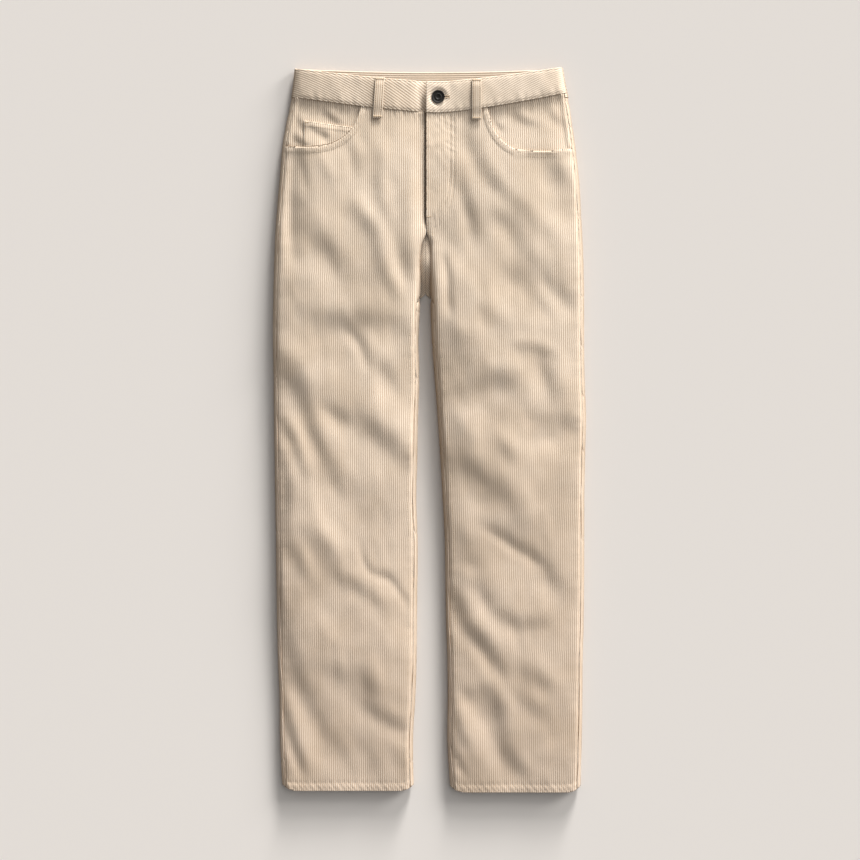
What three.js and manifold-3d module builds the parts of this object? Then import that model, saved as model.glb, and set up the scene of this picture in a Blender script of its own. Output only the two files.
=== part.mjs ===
// Five-pocket corduroy trousers laid out flat, front upwards.
// Millimetres, +Z up. The trousers lie on the plane z = 0 with the waist towards +Y
// and the wearer's left leg on the +X side. The origin is under the middle of their outline.
import * as THREE from "three";
import { mergeVertices } from "three/addons/utils/BufferGeometryUtils.js";
import Module from "manifold-3d";

const wasm = await Module();
wasm.setup();

// Cloth
const CLOTH = 1.6; // thickness of one layer of corduroy
const BAND = 2.8; // thickness of the waistband, two layers and an interfacing
const FACING = 1.3; // thickness of the pocket facings and the fly shield
const SEAM = 0.6; // gap between two pieces at a seam
const LAYER = 0.6; // gap between a piece and the one that it lies on

// Section of the laid-out garment
const EDGE_Z = 5.2; // height of the outermost line of a leg
const SHOULDER = 75; // distance over which the top rounds down to that line
const ROLL = 9; // distance over which the underside rounds up to it
const SEAM_INSET = 5; // the outseam and the inseam show this far inside the outline

// Waist
const WAIST_DIP = { x: 11, top: 521, seam: 474 }; // lowest point of the front waistband
const WAIST_RIGHT = { x: -203, top: 541.5, seam: 498 }; // its corner on the wearer's right
const WAIST_LEFT = { x: 201, top: 544, seam: 504 }; // its corner on the wearer's left
const WAIST_CURVE = 1.35; // power of the curve between them
const WAIST_LEVEL = { seam: 490, top: 535 }; // y near the seam and near the top of the waistband
const BACK_TOP = 537.5; // top edge of the back waistband in the middle
const BACK_SEAM = 493; // its lower edge in the middle
const BACK_CORNER_RISE = 5; // how much higher the back waistband is at its corners
const UNDER_LOOPS = { rise: 2.1, from: 425, to: 462 }; // the back is raised by the loops under it

// Fly
const FLY_EDGE = -5; // x of the overlapping edge
const FLY_GAP = 2.5; // width of the dark gap beside it
const FLY_END = 317; // y where the opening ends
const FLY_WIDTH = 40; // from the edge to its topstitching
const FLY_RISE = 1; // how much the fly facing raises the cloth
const FLY_DIP = { depth: 1.2, from: -30, to: -8 }; // how the other front dips beside it
const FLY_BLEND = { below: 25, above: 5, side: 4 }; // lengths over which both fade out
const SHIELD = { from: -25, to: 30, bottom: 300, depth: 3.6 };
const UNDERLAP = { to: 28, from: -22, depth: 3.6 }; // waistband end under the button

// Seam in the middle of the front, from the end of the fly to the crotch
const MIDDLE = { x: -2, from: 288, to: 315 };

// Crotch
const CROTCH = { front: 290, back: 204 }; // y where the fronts part and where the backs part
const OPENING = 18; // length over which the fronts part to their full gap
const SEAT_SEAM = -6; // x of the seam between the backs
const FORK_DEPTH = 8; // length over which the backs part
const LAP_LENGTH = 50; // length over which the back starts to roll over the inseam

// Hem
const HEM_CORNER = { width: 26, rise: 9 }; // the rounded corners of the hem

// Small pieces
const LOOP = { width: 14, length: 61, thick: 1.7, gap: 5.3 };
const FRONT_LOOPS = [
  { name: "right", x: -76, lean: 4, bottom: 466 },
  { name: "left", x: 70.5, lean: 0, bottom: 464 },
];
const BACK_LOOPS = { x: [-150, 0, 150], drop: 1 }; // drop is from the waistband's top edge
const BUTTON = { x: 13, y: 498, radius: 10, thick: 2.6, shank: 3 };
const BUTTON_FACE = [
  { radius: 10, depth: 0.7 },
  { radius: 9.3, depth: 0 },
  { radius: 7.8, depth: 0.1 },
  { radius: 7, depth: 0.9 },
  { radius: 4.6, depth: 1 },
  { radius: 3.6, depth: 0.3 },
  { radius: 2.4, depth: 0.5 },
  { radius: 1.8, depth: 1.4 },
  { radius: 0, depth: 1.5 },
]; // from the rim to the dimple, below the highest line
const BUTTON_CHAMFER = { across: 1, up: 0.9 }; // under the rim
const BUTTONHOLE = { length: 16, width: 1.4, eyelet: 0.5, cut: 60 };
const FACING_BOTTOM = 402; // lower edge of the pocket facings
const FACING_LAP = 8; // how far they reach under the front beyond the pocket mouth
const COIN_POCKET = { left: -187, right: -104, bottom: 418, topLeft: 463, topRight: 450 };

// Outline from above: x of the outer edge and, below the crotch, of the inner edge of each leg.
const OUTLINE = [
  { y: 545, rightOut: -201, rightIn: 5, leftIn: -5, leftOut: 199 },
  { y: 520, rightOut: -203.5, rightIn: 5, leftIn: -5, leftOut: 203 },
  { y: 495, rightOut: -207, rightIn: 5, leftIn: -5, leftOut: 208 },
  { y: 435, rightOut: -219, rightIn: 5, leftIn: -5, leftOut: 217 },
  { y: 375, rightOut: -224.5, rightIn: 5, leftIn: -5, leftOut: 224 },
  { y: 315, rightOut: -229.5, rightIn: 5, leftIn: -5, leftOut: 227.5 },
  { y: 285, rightOut: -231.4, rightIn: -9.5, leftIn: 1, leftOut: 229.2 },
  { y: 255, rightOut: -232.4, rightIn: -14, leftIn: 1, leftOut: 230.4 },
  { y: 225, rightOut: -233.3, rightIn: -13, leftIn: 1, leftOut: 231.2 },
  { y: 200, rightOut: -234, rightIn: -14, leftIn: 1.5, leftOut: 231.5 },
  { y: 135, rightOut: -234.5, rightIn: -17, leftIn: 4, leftOut: 231.5 },
  { y: 75, rightOut: -233.5, rightIn: -16, leftIn: 8.5, leftOut: 232.5 },
  { y: 15, rightOut: -233, rightIn: -18, leftIn: 13, leftOut: 234.5 },
  { y: -45, rightOut: -232, rightIn: -19, leftIn: 17, leftOut: 233 },
  { y: -105, rightOut: -231, rightIn: -20.5, leftIn: 20.5, leftOut: 232 },
  { y: -165, rightOut: -230, rightIn: -18.5, leftIn: 23.5, leftOut: 232 },
  { y: -285, rightOut: -228.5, rightIn: -19.5, leftIn: 25.5, leftOut: 231 },
  { y: -345, rightOut: -227, rightIn: -20, leftIn: 27.5, leftOut: 229.5 },
  { y: -405, rightOut: -224.5, rightIn: -22, leftIn: 28, leftOut: 229 },
  { y: -465, rightOut: -224, rightIn: -25.5, leftIn: 27.5, leftOut: 228 },
  { y: -545, rightOut: -220, rightIn: -24, leftIn: 32, leftOut: 226 },
];

// Height of the middle of the upper layer at each level.
const HEIGHT = [
  { y: 545, top: 19 },
  { y: 470, top: 19.5 },
  { y: 400, top: 23 },
  { y: 255, top: 24 },
  { y: 100, top: 22 },
  { y: -100, top: 20.5 },
  { y: -300, top: 19 },
  { y: -480, top: 16 },
  { y: -545, top: 13 },
];

// The largest folds of the fronts. Each is a slope that runs from (x0, y0) through (xm, ym)
// to (x1, y1), with a crest on its left-hand side, a trough on the other, and this half width.
const FOLDS = [
  { x0: -200, y0: 358, xm: -172, ym: 295, x1: -126, y1: 222, width: 12, depth: 3.2 },
  { x0: -124, y0: 342, xm: -84, ym: 315, x1: -74, y1: 262, width: 10, depth: 2.6 },
  { x0: -82, y0: 290, xm: -68, ym: 240, x1: -46, y1: 198, width: 12, depth: 2 },
  { x0: -186, y0: 170, xm: -112, ym: 178, x1: -88, y1: 98, width: 11, depth: 2.6 },
  { x0: -116, y0: 180, xm: -46, ym: 172, x1: -26, y1: 106, width: 10, depth: 2 },
  { x0: -228, y0: 94, xm: -180, ym: 84, x1: -160, y1: -18, width: 13, depth: 3.6 },
  { x0: -172, y0: -8, xm: -148, ym: -52, x1: -126, y1: -104, width: 10, depth: 2.6 },
  { x0: -112, y0: 32, xm: -62, ym: -6, x1: -28, y1: -58, width: 12, depth: 3 },
  { x0: -176, y0: -136, xm: -138, ym: -194, x1: -108, y1: -232, width: 10, depth: 2.4 },
  { x0: -106, y0: -160, xm: -72, ym: -212, x1: -26, y1: -262, width: 11, depth: 2.6 },
  { x0: -224, y0: -236, xm: -214, ym: -330, x1: -184, y1: -384, width: 14, depth: 3.8 },
  { x0: -196, y0: -358, xm: -160, ym: -440, x1: -108, y1: -504, width: 12, depth: 3.8 },
  { x0: -146, y0: -354, xm: -94, ym: -376, x1: -36, y1: -448, width: 11, depth: 2.8 },
  { x0: 66, y0: 446, xm: 76, ym: 392, x1: 98, y1: 368, width: 10, depth: 2.6 },
  { x0: 48, y0: 392, xm: 60, ym: 330, x1: 76, y1: 272, width: 10, depth: 3 },
  { x0: 104, y0: 372, xm: 132, ym: 324, x1: 142, y1: 262, width: 13, depth: 2.4 },
  { x0: 168, y0: 242, xm: 192, ym: 222, x1: 220, y1: 176, width: 11, depth: 2.6 },
  { x0: 130, y0: 124, xm: 180, ym: 118, x1: 184, y1: 54, width: 10, depth: 2.6 },
  { x0: 42, y0: 86, xm: 100, ym: 84, x1: 146, y1: 64, width: 13, depth: 3 },
  { x0: 20, y0: 28, xm: 52, ym: -24, x1: 138, y1: -108, width: 14, depth: 4 },
  { x0: 78, y0: -134, xm: 120, ym: -150, x1: 174, y1: -198, width: 10, depth: 3 },
  { x0: 40, y0: -238, xm: 56, ym: -310, x1: 118, y1: -372, width: 13, depth: 4.2 },
  { x0: 80, y0: -226, xm: 102, ym: -268, x1: 140, y1: -288, width: 11, depth: 2.2 },
  { x0: 86, y0: -378, xm: 106, ym: -450, x1: 146, y1: -522, width: 11, depth: 3.4 },
  { x0: 34, y0: -390, xm: 38, ym: -442, x1: 58, y1: -478, width: 9, depth: 2.6 },
];
const FOLD_STEPS = 8; // pieces that a fold's path is measured in
const FOLD_CLEAR = 30; // distance from the outline over which folds grow to full depth

// Colours
const CREAM = new THREE.MeshStandardMaterial({ color: 0xe4d2b6, roughness: 0.95, metalness: 0 });
const BLACK = new THREE.MeshStandardMaterial({ color: 0x1f1c1a, roughness: 0.45, metalness: 0.6 });

const smooth = THREE.MathUtils.smoothstep;
const mix = THREE.MathUtils.lerp;

// Value of a table's column at level y, on a smooth curve through its rows.
function level(table, column, y) {
  const last = table.length - 1;
  let i = table.findIndex((row) => row.y <= y) - 1;
  if (i === -2) i = last - 1;
  i = Math.max(i, 0);
  const slope = (k) => {
    const a = table[Math.max(k - 1, 0)];
    const b = table[Math.min(k + 1, last)];
    return (b[column] - a[column]) / (b.y - a.y);
  };
  const [p, q] = [table[i], table[i + 1]];
  const run = q.y - p.y;
  const t = THREE.MathUtils.clamp((y - p.y) / run, 0, 1);
  const [t2, t3] = [t * t, t * t * t];
  return (
    (2 * t3 - 3 * t2 + 1) * p[column] +
    (t3 - 2 * t2 + t) * run * slope(i) +
    (3 * t2 - 2 * t3) * q[column] +
    (t3 - t2) * run * slope(i + 1)
  );
}

// The two halves of the garment. "out" is the direction of the outseam, and "proud" is how far
// the waistband's middle is above the front's.
const RIGHT = { name: "right", out: -1, outer: "rightOut", inner: "rightIn", hem: -541.5, proud: 0.9 };
const LEFT = { name: "left", out: 1, outer: "leftOut", inner: "leftIn", hem: -544, proud: 1.3 };

// Share to which the fronts have parted at level y: 0 above the crotch, 1 in the legs.
function parting(y) {
  return smooth(-y, -CROTCH.front, -CROTCH.front + OPENING);
}

// Share to which their inner edges have sunk at level y.
function sinking(y) {
  return smooth(-y, -CROTCH.front, -CROTCH.back);
}

// Share to which a back laps over its inseam at level y.
function lapping(y) {
  return smooth(-y, -CROTCH.back, -CROTCH.back + LAP_LENGTH);
}

// Inner edge of a half at level y: the middle of the front, then the inside of the leg.
function innerEdge(half, y) {
  const middle = mix(MIDDLE.x, FLY_EDGE, smooth(y, MIDDLE.from, MIDDLE.to));
  return mix(middle, level(OUTLINE, half.inner, y), parting(y));
}

// Front waistband's top edge or seam at x.
function waistline(edge, x) {
  const corner = x < WAIST_DIP.x ? WAIST_RIGHT : WAIST_LEFT;
  const share = Math.min((x - WAIST_DIP.x) / (corner.x - WAIST_DIP.x), 1.1);
  return WAIST_DIP[edge] + (corner[edge] - WAIST_DIP[edge]) * Math.max(share, 0) ** WAIST_CURVE;
}

// Back waistband's top edge or seam at x.
function backWaistline(middle, x) {
  return middle + BACK_CORNER_RISE * (x / WAIST_LEFT.x) ** 2;
}

// Lower edge of a leg at x, with rounded corners.
function hemline(half, x) {
  const edges = [half.outer, half.inner].map((edge) => level(OUTLINE, edge, half.hem));
  const near = Math.min(...edges.map((edge) => Math.abs(x - edge)));
  const corner = Math.max(1 - near / HEM_CORNER.width, 0);
  return half.hem + HEM_CORNER.rise * corner ** 3;
}

// Rise of the rounded top from the outline inwards: 0 at the outline, 1 past the shoulder.
function shoulder(distance) {
  const q = 1 - THREE.MathUtils.clamp(distance / SHOULDER, 0, 1);
  return Math.sqrt(1 - q * q);
}

// Points of each fold's path, a quadratic curve, made once.
const foldPaths = FOLDS.map((fold) => {
  const middle = new THREE.Vector2(
    2 * fold.xm - (fold.x0 + fold.x1) / 2,
    2 * fold.ym - (fold.y0 + fold.y1) / 2,
  );
  const path = new THREE.QuadraticBezierCurve(
    new THREE.Vector2(fold.x0, fold.y0),
    middle,
    new THREE.Vector2(fold.x1, fold.y1),
  );
  return { ...fold, points: path.getPoints(FOLD_STEPS) };
});

// Height that one fold adds at (x, y).
function foldHeight(fold, x, y) {
  let best = { distance: Infinity, side: 0, share: 0 };
  for (let k = 0; k < FOLD_STEPS; k += 1) {
    const [a, b] = [fold.points[k], fold.points[k + 1]];
    const [dx, dy] = [b.x - a.x, b.y - a.y];
    const t = THREE.MathUtils.clamp(
      ((x - a.x) * dx + (y - a.y) * dy) / (dx * dx + dy * dy), 0, 1);
    const [ex, ey] = [x - a.x - t * dx, y - a.y - t * dy];
    const distance = Math.hypot(ex, ey);
    if (distance < best.distance) {
      best = { distance, side: Math.sign(dx * ey - dy * ex), share: (k + t) / FOLD_STEPS };
    }
  }
  const q = (best.side * best.distance) / fold.width;
  const taper = (4 * best.share * (1 - best.share)) ** 0.7;
  return fold.depth * taper * q * Math.exp((1 - q * q) / 2);
}

function foldsAt(x, y) {
  return foldPaths.reduce((sum, fold) => sum + foldHeight(fold, x, y), 0);
}

// Height of the middle of the front's cloth at (x, y).
function frontHeight(half, x, y) {
  const outside = Math.abs(x - level(OUTLINE, half.outer, y));
  const inside = Math.abs(x - innerEdge(half, y));
  const sunk = sinking(y);
  const round = shoulder(outside) * mix(1, shoulder(inside), sunk);
  const clear = smooth(Math.min(outside, mix(FOLD_CLEAR, inside, sunk)), 0, FOLD_CLEAR);
  const rise = level(HEIGHT, "top", y) - EDGE_Z;
  return EDGE_Z + rise * round + foldsAt(x, y) * clear;
}

// The fly: the wearer's left front is raised by its facing, and the right front dips beside it.
function flyHeight(half, x, y) {
  const above = smooth(y, FLY_END - FLY_BLEND.below, FLY_END + FLY_BLEND.above);
  if (half === LEFT) {
    const side = FLY_EDGE + FLY_WIDTH;
    return FLY_RISE * above * smooth(-x, -side - FLY_BLEND.side, -side + FLY_BLEND.side);
  }
  return -FLY_DIP.depth * above * smooth(x, FLY_DIP.from, FLY_DIP.to);
}

// A closed wall of cloth: centre(i, j) is the middle of the cloth, thick its thickness.
function wall(across, along, thick, centre) {
  const at = [];
  for (let j = 0; j <= along; j += 1) {
    for (let i = 0; i <= across; i += 1) at.push(centre(i / across, j / along));
  }
  const index = (i, j) => j * (across + 1) + i;
  const outer = [];
  const inner = [];
  for (let j = 0; j <= along; j += 1) {
    for (let i = 0; i <= across; i += 1) {
      const left = at[index(Math.max(i - 1, 0), j)];
      const right = at[index(Math.min(i + 1, across), j)];
      const down = at[index(i, Math.max(j - 1, 0))];
      const up = at[index(i, Math.min(j + 1, along))];
      const normal = right.clone().sub(left).cross(up.clone().sub(down)).normalize();
      outer.push(at[index(i, j)].clone().addScaledVector(normal, thick / 2));
      inner.push(at[index(i, j)].clone().addScaledVector(normal, -thick / 2));
    }
  }
  const count = at.length;
  const faces = [];
  const quad = (a, b, c, d) => faces.push(a, b, c, a, c, d);
  for (let j = 0; j < along; j += 1) {
    for (let i = 0; i < across; i += 1) {
      const [a, b, c, d] = [index(i, j), index(i + 1, j), index(i + 1, j + 1), index(i, j + 1)];
      faces.push(a, b, d, b, c, d);
      faces.push(a + count, d + count, b + count, b + count, d + count, c + count);
    }
  }
  for (let i = 0; i < across; i += 1) {
    const [a, b] = [index(i, 0), index(i + 1, 0)];
    quad(a + count, b + count, b, a);
    const [c, d] = [index(i, along), index(i + 1, along)];
    quad(c, d, d + count, c + count);
  }
  for (let j = 0; j < along; j += 1) {
    const [a, b] = [index(0, j), index(0, j + 1)];
    quad(a, b, b + count, a + count);
    const [c, d] = [index(across, j), index(across, j + 1)];
    quad(c + count, d + count, d, c);
  }
  const geometry = new THREE.BufferGeometry();
  const positions = [...outer, ...inner].flatMap((p) => [p.x, p.y, p.z]);
  geometry.setAttribute("position", new THREE.Float32BufferAttribute(positions, 3));
  geometry.setIndex(faces);
  return geometry;
}

function solid(geometry) {
  const plain = geometry.clone();
  plain.deleteAttribute("normal");
  plain.deleteAttribute("uv");
  const merged = mergeVertices(plain, 1e-4);
  return new wasm.Manifold(
    new wasm.Mesh({
      numProp: 3,
      vertProperties: merged.attributes.position.array,
      triVerts: new Uint32Array(merged.index.array),
    }),
  );
}

function unsolid(made) {
  const mesh = made.getMesh();
  const geometry = new THREE.BufferGeometry();
  geometry.setAttribute("position", new THREE.BufferAttribute(mesh.vertProperties, 3));
  geometry.setIndex(new THREE.BufferAttribute(mesh.triVerts, 1));
  return geometry;
}

// Shares of a width, closer together near both ends.
function crowded(u) {
  return mix(u, (1 - Math.cos(Math.PI * u)) / 2, 0.45);
}

// Pocket mouth: a scoop from the waist seam to the outseam, as the outline of a cutter.
const SCOOP = {
  right: { side: 425, low: 421, corner: -150, rise: -108, waist: -102 },
  left: { side: 421, low: 414, corner: 128, rise: 92, waist: 86 },
};

function scoopCutter(half, inset) {
  const { side, low, corner, rise, waist } = SCOOP[half.name];
  const reach = 260 * half.out;
  const grow = inset * half.out;
  const shape = new THREE.Shape();
  shape.moveTo(reach, side + inset);
  shape.lineTo(200 * half.out, side - 1 + inset);
  shape.quadraticCurveTo(175 * half.out, low + inset, corner + grow, low + 6 + inset);
  shape.quadraticCurveTo(rise + grow, low + 20 + inset, waist + grow, 490);
  shape.lineTo(waist + grow, 530);
  shape.lineTo(reach, 530);
  const prism = new THREE.ExtrudeGeometry(shape, { depth: 60, bevelEnabled: false, curveSegments: 10 });
  return solid(prism);
}

// Front of one leg, from the waist seam to the hem, with its pocket mouth cut out.
function front(half) {
  const across = 20;
  const along = 46;
  const centre = (u, v) => {
    const share = half === RIGHT ? crowded(u) : crowded(1 - u);
    const edge = (y) => {
      const open = half === RIGHT ? FLY_GAP * smooth(y, FLY_END - 6, FLY_END) : 0;
      const inner = innerEdge(half, y) + half.out * (SEAM / 2 + open + SEAM_INSET * lapping(y));
      const outer = level(OUTLINE, half.outer, y) - half.out * (SEAM_INSET + SEAM / 2);
      return mix(outer, inner, share);
    };
    const near = edge(v > 0.5 ? WAIST_LEVEL.seam : half.hem);
    const top = waistline("seam", near) - SEAM;
    const y = mix(hemline(half, near), top, v);
    const x = edge(y);
    return new THREE.Vector3(x, y, frontHeight(half, x, y) + flyHeight(half, x, y));
  };
  return unsolid(solid(wall(across, along, CLOTH, centre)).subtract(scoopCutter(half, 0)));
}

// Facing that shows in a pocket mouth. It lies below the front and is sewn into the outseam.
function pocketFacing(half) {
  const { waist, side } = SCOOP[half.name];
  const inner = waist - half.out * FACING_LAP;
  const height = WAIST_LEVEL.seam - FACING_BOTTOM;
  const deep = CLOTH / 2 + LAYER + FACING / 2;
  const centre = (u, v) => {
    const share = half === RIGHT ? u : 1 - u;
    const above = smooth(v * height + FACING_BOTTOM, side + 4, side + 12);
    const inset = SEAM_INSET + mix(2.5, SEAM / 2, above);
    const at = (y) => mix(level(OUTLINE, half.outer, y) - half.out * inset, inner, share);
    const top = waistline("seam", at(WAIST_LEVEL.seam)) - SEAM;
    const y = mix(FACING_BOTTOM, top, v);
    const x = at(y);
    const sewn = above * (1 - smooth(share, 0, 0.15));
    return new THREE.Vector3(x, y, frontHeight(half, x, y) - mix(deep, 0, sewn));
  };
  return wall(10, 8, FACING, centre);
}

// Small pocket on the wearer's right facing. Its lower end runs under the pocket mouth.
function coinPocket() {
  const depth = CLOTH / 2 + LAYER - SEAM / 2 - FACING / 2;
  const centre = (u, v) => {
    const x = mix(COIN_POCKET.left, COIN_POCKET.right, u);
    const y = mix(COIN_POCKET.bottom, mix(COIN_POCKET.topLeft, COIN_POCKET.topRight, u), v);
    return new THREE.Vector3(x, y, frontHeight(RIGHT, x, y) - depth);
  };
  return unsolid(solid(wall(8, 5, FACING, centre)).intersect(scoopCutter(RIGHT, 0.5)));
}

// Strip behind the fly opening.
function flyShield() {
  const centre = (u, v) => {
    const x = mix(SHIELD.from, SHIELD.to, u);
    const y = mix(SHIELD.bottom, waistline("seam", x) - SEAM, v);
    return new THREE.Vector3(x, y, frontHeight(LEFT, x, y) - SHIELD.depth);
  };
  return wall(4, 6, FACING, centre);
}

// Outward roll of the underside at an edge: the points from the seam round to the floor.
// dir points out of the garment, floor is the height of the middle of the cloth.
function rolledEdge(edge, dir, y, floor, inset) {
  const top = level(HEIGHT, "top", y) - EDGE_Z;
  const start = Math.acos(1 - inset / SHOULDER);
  const points = [1, 0.5].map((share) => {
    const angle = start * share;
    return [edge - dir * SHOULDER * (1 - Math.cos(angle)), EDGE_Z + top * Math.sin(angle)];
  });
  for (let k = 0; k <= 3; k += 1) {
    const angle = (k / 3) * (Math.PI / 2);
    points.push([
      edge - dir * ROLL * (1 - Math.cos(angle)),
      EDGE_Z - (EDGE_Z - floor) * Math.sin(angle),
    ]);
  }
  return points;
}

// Height of the middle of a back's cloth: on the floor, and over the belt loops near the waist.
function underside(y, thick) {
  return thick / 2 + UNDER_LOOPS.rise * smooth(y, UNDER_LOOPS.from, UNDER_LOOPS.to);
}

// Section of a back at level y, as points from the outseam to the seat seam or the inseam.
function backSection(half, y, thick, flats) {
  const floor = underside(y, thick);
  const inset = SEAM_INSET - SEAM / 2;
  const outer = rolledEdge(level(OUTLINE, half.outer, y), half.out, y, floor, inset);
  const parted = smooth(-y, -CROTCH.back, -CROTCH.back + FORK_DEPTH);
  const lapped = lapping(y);
  const edge = mix(SEAT_SEAM + half.out * (SEAM / 2), level(OUTLINE, half.inner, y), parted);
  const rolled = rolledEdge(edge, -half.out, y, floor, inset).reverse();
  const start = outer.at(-1)[0];
  const stop = edge + half.out * ROLL;
  const points = [...outer];
  for (let k = 1; k < flats; k += 1) points.push([mix(start, stop, k / flats), floor]);
  rolled.forEach(([x, z], k) => {
    const flat = mix(stop, edge, k / (rolled.length - 1));
    points.push([mix(flat, x, lapped), mix(floor, z, lapped)]);
  });
  return points;
}

// Levels of a back's sections, closer together where the legs part.
function backLevels(bottom, top) {
  const levels = [];
  const push = (from, to, count) => {
    for (let k = 0; k < count; k += 1) levels.push(mix(from, to, k / count));
  };
  push(bottom, CROTCH.back - LAP_LENGTH, 15);
  push(CROTCH.back - LAP_LENGTH, CROTCH.back - FORK_DEPTH, 3);
  push(CROTCH.back - FORK_DEPTH, CROTCH.back, 2);
  push(CROTCH.back, UNDER_LOOPS.from, 3);
  push(UNDER_LOOPS.from, UNDER_LOOPS.to, 3);
  push(UNDER_LOOPS.to, top, 1);
  return [...levels, top];
}

// Power by which the curves of the hem and the waist seam fade into a back's straight levels.
const END_FADE = 12;

// Back of one leg, from its waist seam to the hem. It lies on the floor.
function back(half) {
  const flats = 4;
  const levels = backLevels(half.hem, BACK_SEAM);
  const columns = backSection(half, 0, CLOTH, flats).length - 1;
  const centre = (u, v) => {
    const j = Math.round(v * (levels.length - 1));
    const i = Math.round((half === RIGHT ? u : 1 - u) * columns);
    const x = backSection(half, levels[j], CLOTH, flats)[i][0];
    const low = hemline(half, x) - half.hem;
    const high = backWaistline(BACK_SEAM, x) - SEAM - BACK_SEAM;
    const share = (levels[j] - half.hem) / (BACK_SEAM - half.hem);
    const y = levels[j] + mix(low * (1 - share) ** END_FADE, high * share ** END_FADE, share);
    const [px, pz] = backSection(half, y, CLOTH, flats)[i];
    return new THREE.Vector3(px, y, pz);
  };
  return wall(columns, levels.length - 1, CLOTH, centre);
}

// Front waistband of one half. The wearer's right one runs on under the button.
function frontBand(half) {
  const outer = (y) => level(OUTLINE, half.outer, y) - half.out * (SEAM_INSET + SEAM / 2);
  const inner = half === RIGHT ? UNDERLAP.to : FLY_EDGE;
  const centre = (u, v) => {
    const share = half === RIGHT ? u : 1 - u;
    const at = (y) => mix(outer(y), inner, share);
    const near = at(mix(WAIST_LEVEL.seam, WAIST_LEVEL.top, v));
    const y = mix(waistline("seam", near), waistline("top", near), v);
    const x = at(y);
    const dip = half === RIGHT ? UNDERLAP.depth * smooth(x, UNDERLAP.from, FLY_EDGE - FLY_GAP) : 0;
    return new THREE.Vector3(x, y, frontHeight(half, x, y) + half.proud - dip);
  };
  const band = wall(24, 3, BAND, centre);
  if (half === RIGHT) return band;
  const round = BUTTON.shank + BUTTONHOLE.eyelet;
  const hole = new THREE.CylinderGeometry(round, round, BUTTONHOLE.cut, 16);
  hole.rotateX(Math.PI / 2).translate(BUTTON.x, BUTTON.y, 0);
  const slit = new THREE.BoxGeometry(BUTTONHOLE.length, BUTTONHOLE.width, BUTTONHOLE.cut);
  slit.translate(BUTTON.x + BUTTONHOLE.length / 2, BUTTON.y, 0);
  return unsolid(solid(band).subtract(solid(hole)).subtract(solid(slit)));
}

// Back waistband, in one piece from outseam to outseam.
function backBand() {
  const flats = 10;
  const inset = SEAM_INSET - SEAM / 2;
  const section = (y) => {
    const floor = UNDER_LOOPS.rise + BAND / 2;
    const right = rolledEdge(level(OUTLINE, RIGHT.outer, y), -1, y, floor, inset);
    const left = rolledEdge(level(OUTLINE, LEFT.outer, y), 1, y, floor, inset).reverse();
    const points = [...right];
    for (let k = 1; k < flats; k += 1) points.push([mix(right.at(-1)[0], left[0][0], k / flats), floor]);
    return [...points, ...left];
  };
  const columns = section(500).length - 1;
  const centre = (u, v) => {
    const i = Math.round(u * columns);
    const near = section(mix(BACK_SEAM, BACK_TOP, v))[i][0];
    const y = mix(backWaistline(BACK_SEAM, near), backWaistline(BACK_TOP, near), v);
    const [x, z] = section(y)[i];
    return new THREE.Vector3(x, y, z);
  };
  return wall(columns, 3, BAND, centre);
}

// Belt loop on the front: a strip that stands over the waistband. It is sewn down on the band's
// top edge and on the front below the band.
function frontLoop({ x, lean, bottom }) {
  const half = x < 0 ? RIGHT : LEFT;
  const onBand = half.proud + BAND / 2 + LAYER + LOOP.thick / 2;
  const onFront = CLOTH / 2 + LAYER + LOOP.thick / 2;
  const centre = (u, v) => {
    const y = bottom + LOOP.length * v;
    const px = x + lean * (v - 0.5) + LOOP.width * (u - 0.5);
    const base = mix(onBand, onFront, smooth(waistline("seam", x) - y, 1, 8));
    const arch = smooth(v, 0.12, 0.24) * smooth(1 - v, 0.02, 0.2);
    return new THREE.Vector3(px, y, frontHeight(half, px, y) + base + (LOOP.gap - LAYER) * arch);
  };
  return wall(2, 16, LOOP.thick, centre);
}

// Belt loop under the back waistband, pressed flat.
function backLoop(x) {
  const loop = new THREE.BoxGeometry(LOOP.width, LOOP.length, LOOP.thick);
  const y = backWaistline(BACK_TOP, x) - LOOP.length / 2 - BACK_LOOPS.drop;
  return loop.translate(x, y, LOOP.thick / 2);
}

// Metal button with a rim and a dimple, on a shank that goes through the buttonhole.
function button() {
  const z = frontHeight(LEFT, BUTTON.x, BUTTON.y);
  const band = z + LEFT.proud + BAND / 2;
  const under = z + RIGHT.proud - UNDERLAP.depth + BAND / 2 + SEAM;
  const low = band + LAYER;
  const high = low + BUTTON.thick;
  const profile = [
    [0, under],
    [BUTTON.shank, under],
    [BUTTON.shank, low],
    [BUTTON.radius - BUTTON_CHAMFER.across, low],
    [BUTTON.radius, low + BUTTON_CHAMFER.up],
    ...BUTTON_FACE.map(({ radius, depth }) => [radius, high - depth]),
  ].map(([x, y]) => new THREE.Vector2(x, y));
  const turned = new THREE.LatheGeometry(profile, 32);
  turned.rotateX(Math.PI / 2);
  turned.translate(BUTTON.x, BUTTON.y, 0);
  return turned;
}

const trousers = new THREE.Group();

function add(name, geometry, material = CREAM) {
  const mesh = new THREE.Mesh(geometry, material);
  mesh.name = name;
  trousers.add(mesh);
}

for (const half of [RIGHT, LEFT]) {
  add(`front_${half.name}`, front(half));
  add(`back_${half.name}`, back(half));
  add(`pocket_facing_${half.name}`, pocketFacing(half));
  add(`waistband_front_${half.name}`, frontBand(half));
}
add("waistband_back", backBand());
add("coin_pocket", coinPocket());
add("fly_shield", flyShield());
FRONT_LOOPS.forEach((loop) => add(`belt_loop_front_${loop.name}`, frontLoop(loop)));
BACK_LOOPS.x.forEach((x, k) => add(`belt_loop_back_${k + 1}`, backLoop(x)));
add("button", button(), BLACK);

// The origin goes under the middle of the outline.
const middle = new THREE.Box3().setFromObject(trousers).getCenter(new THREE.Vector3());
trousers.children.forEach((mesh) => mesh.geometry.translate(-middle.x, -middle.y, 0));

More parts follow.
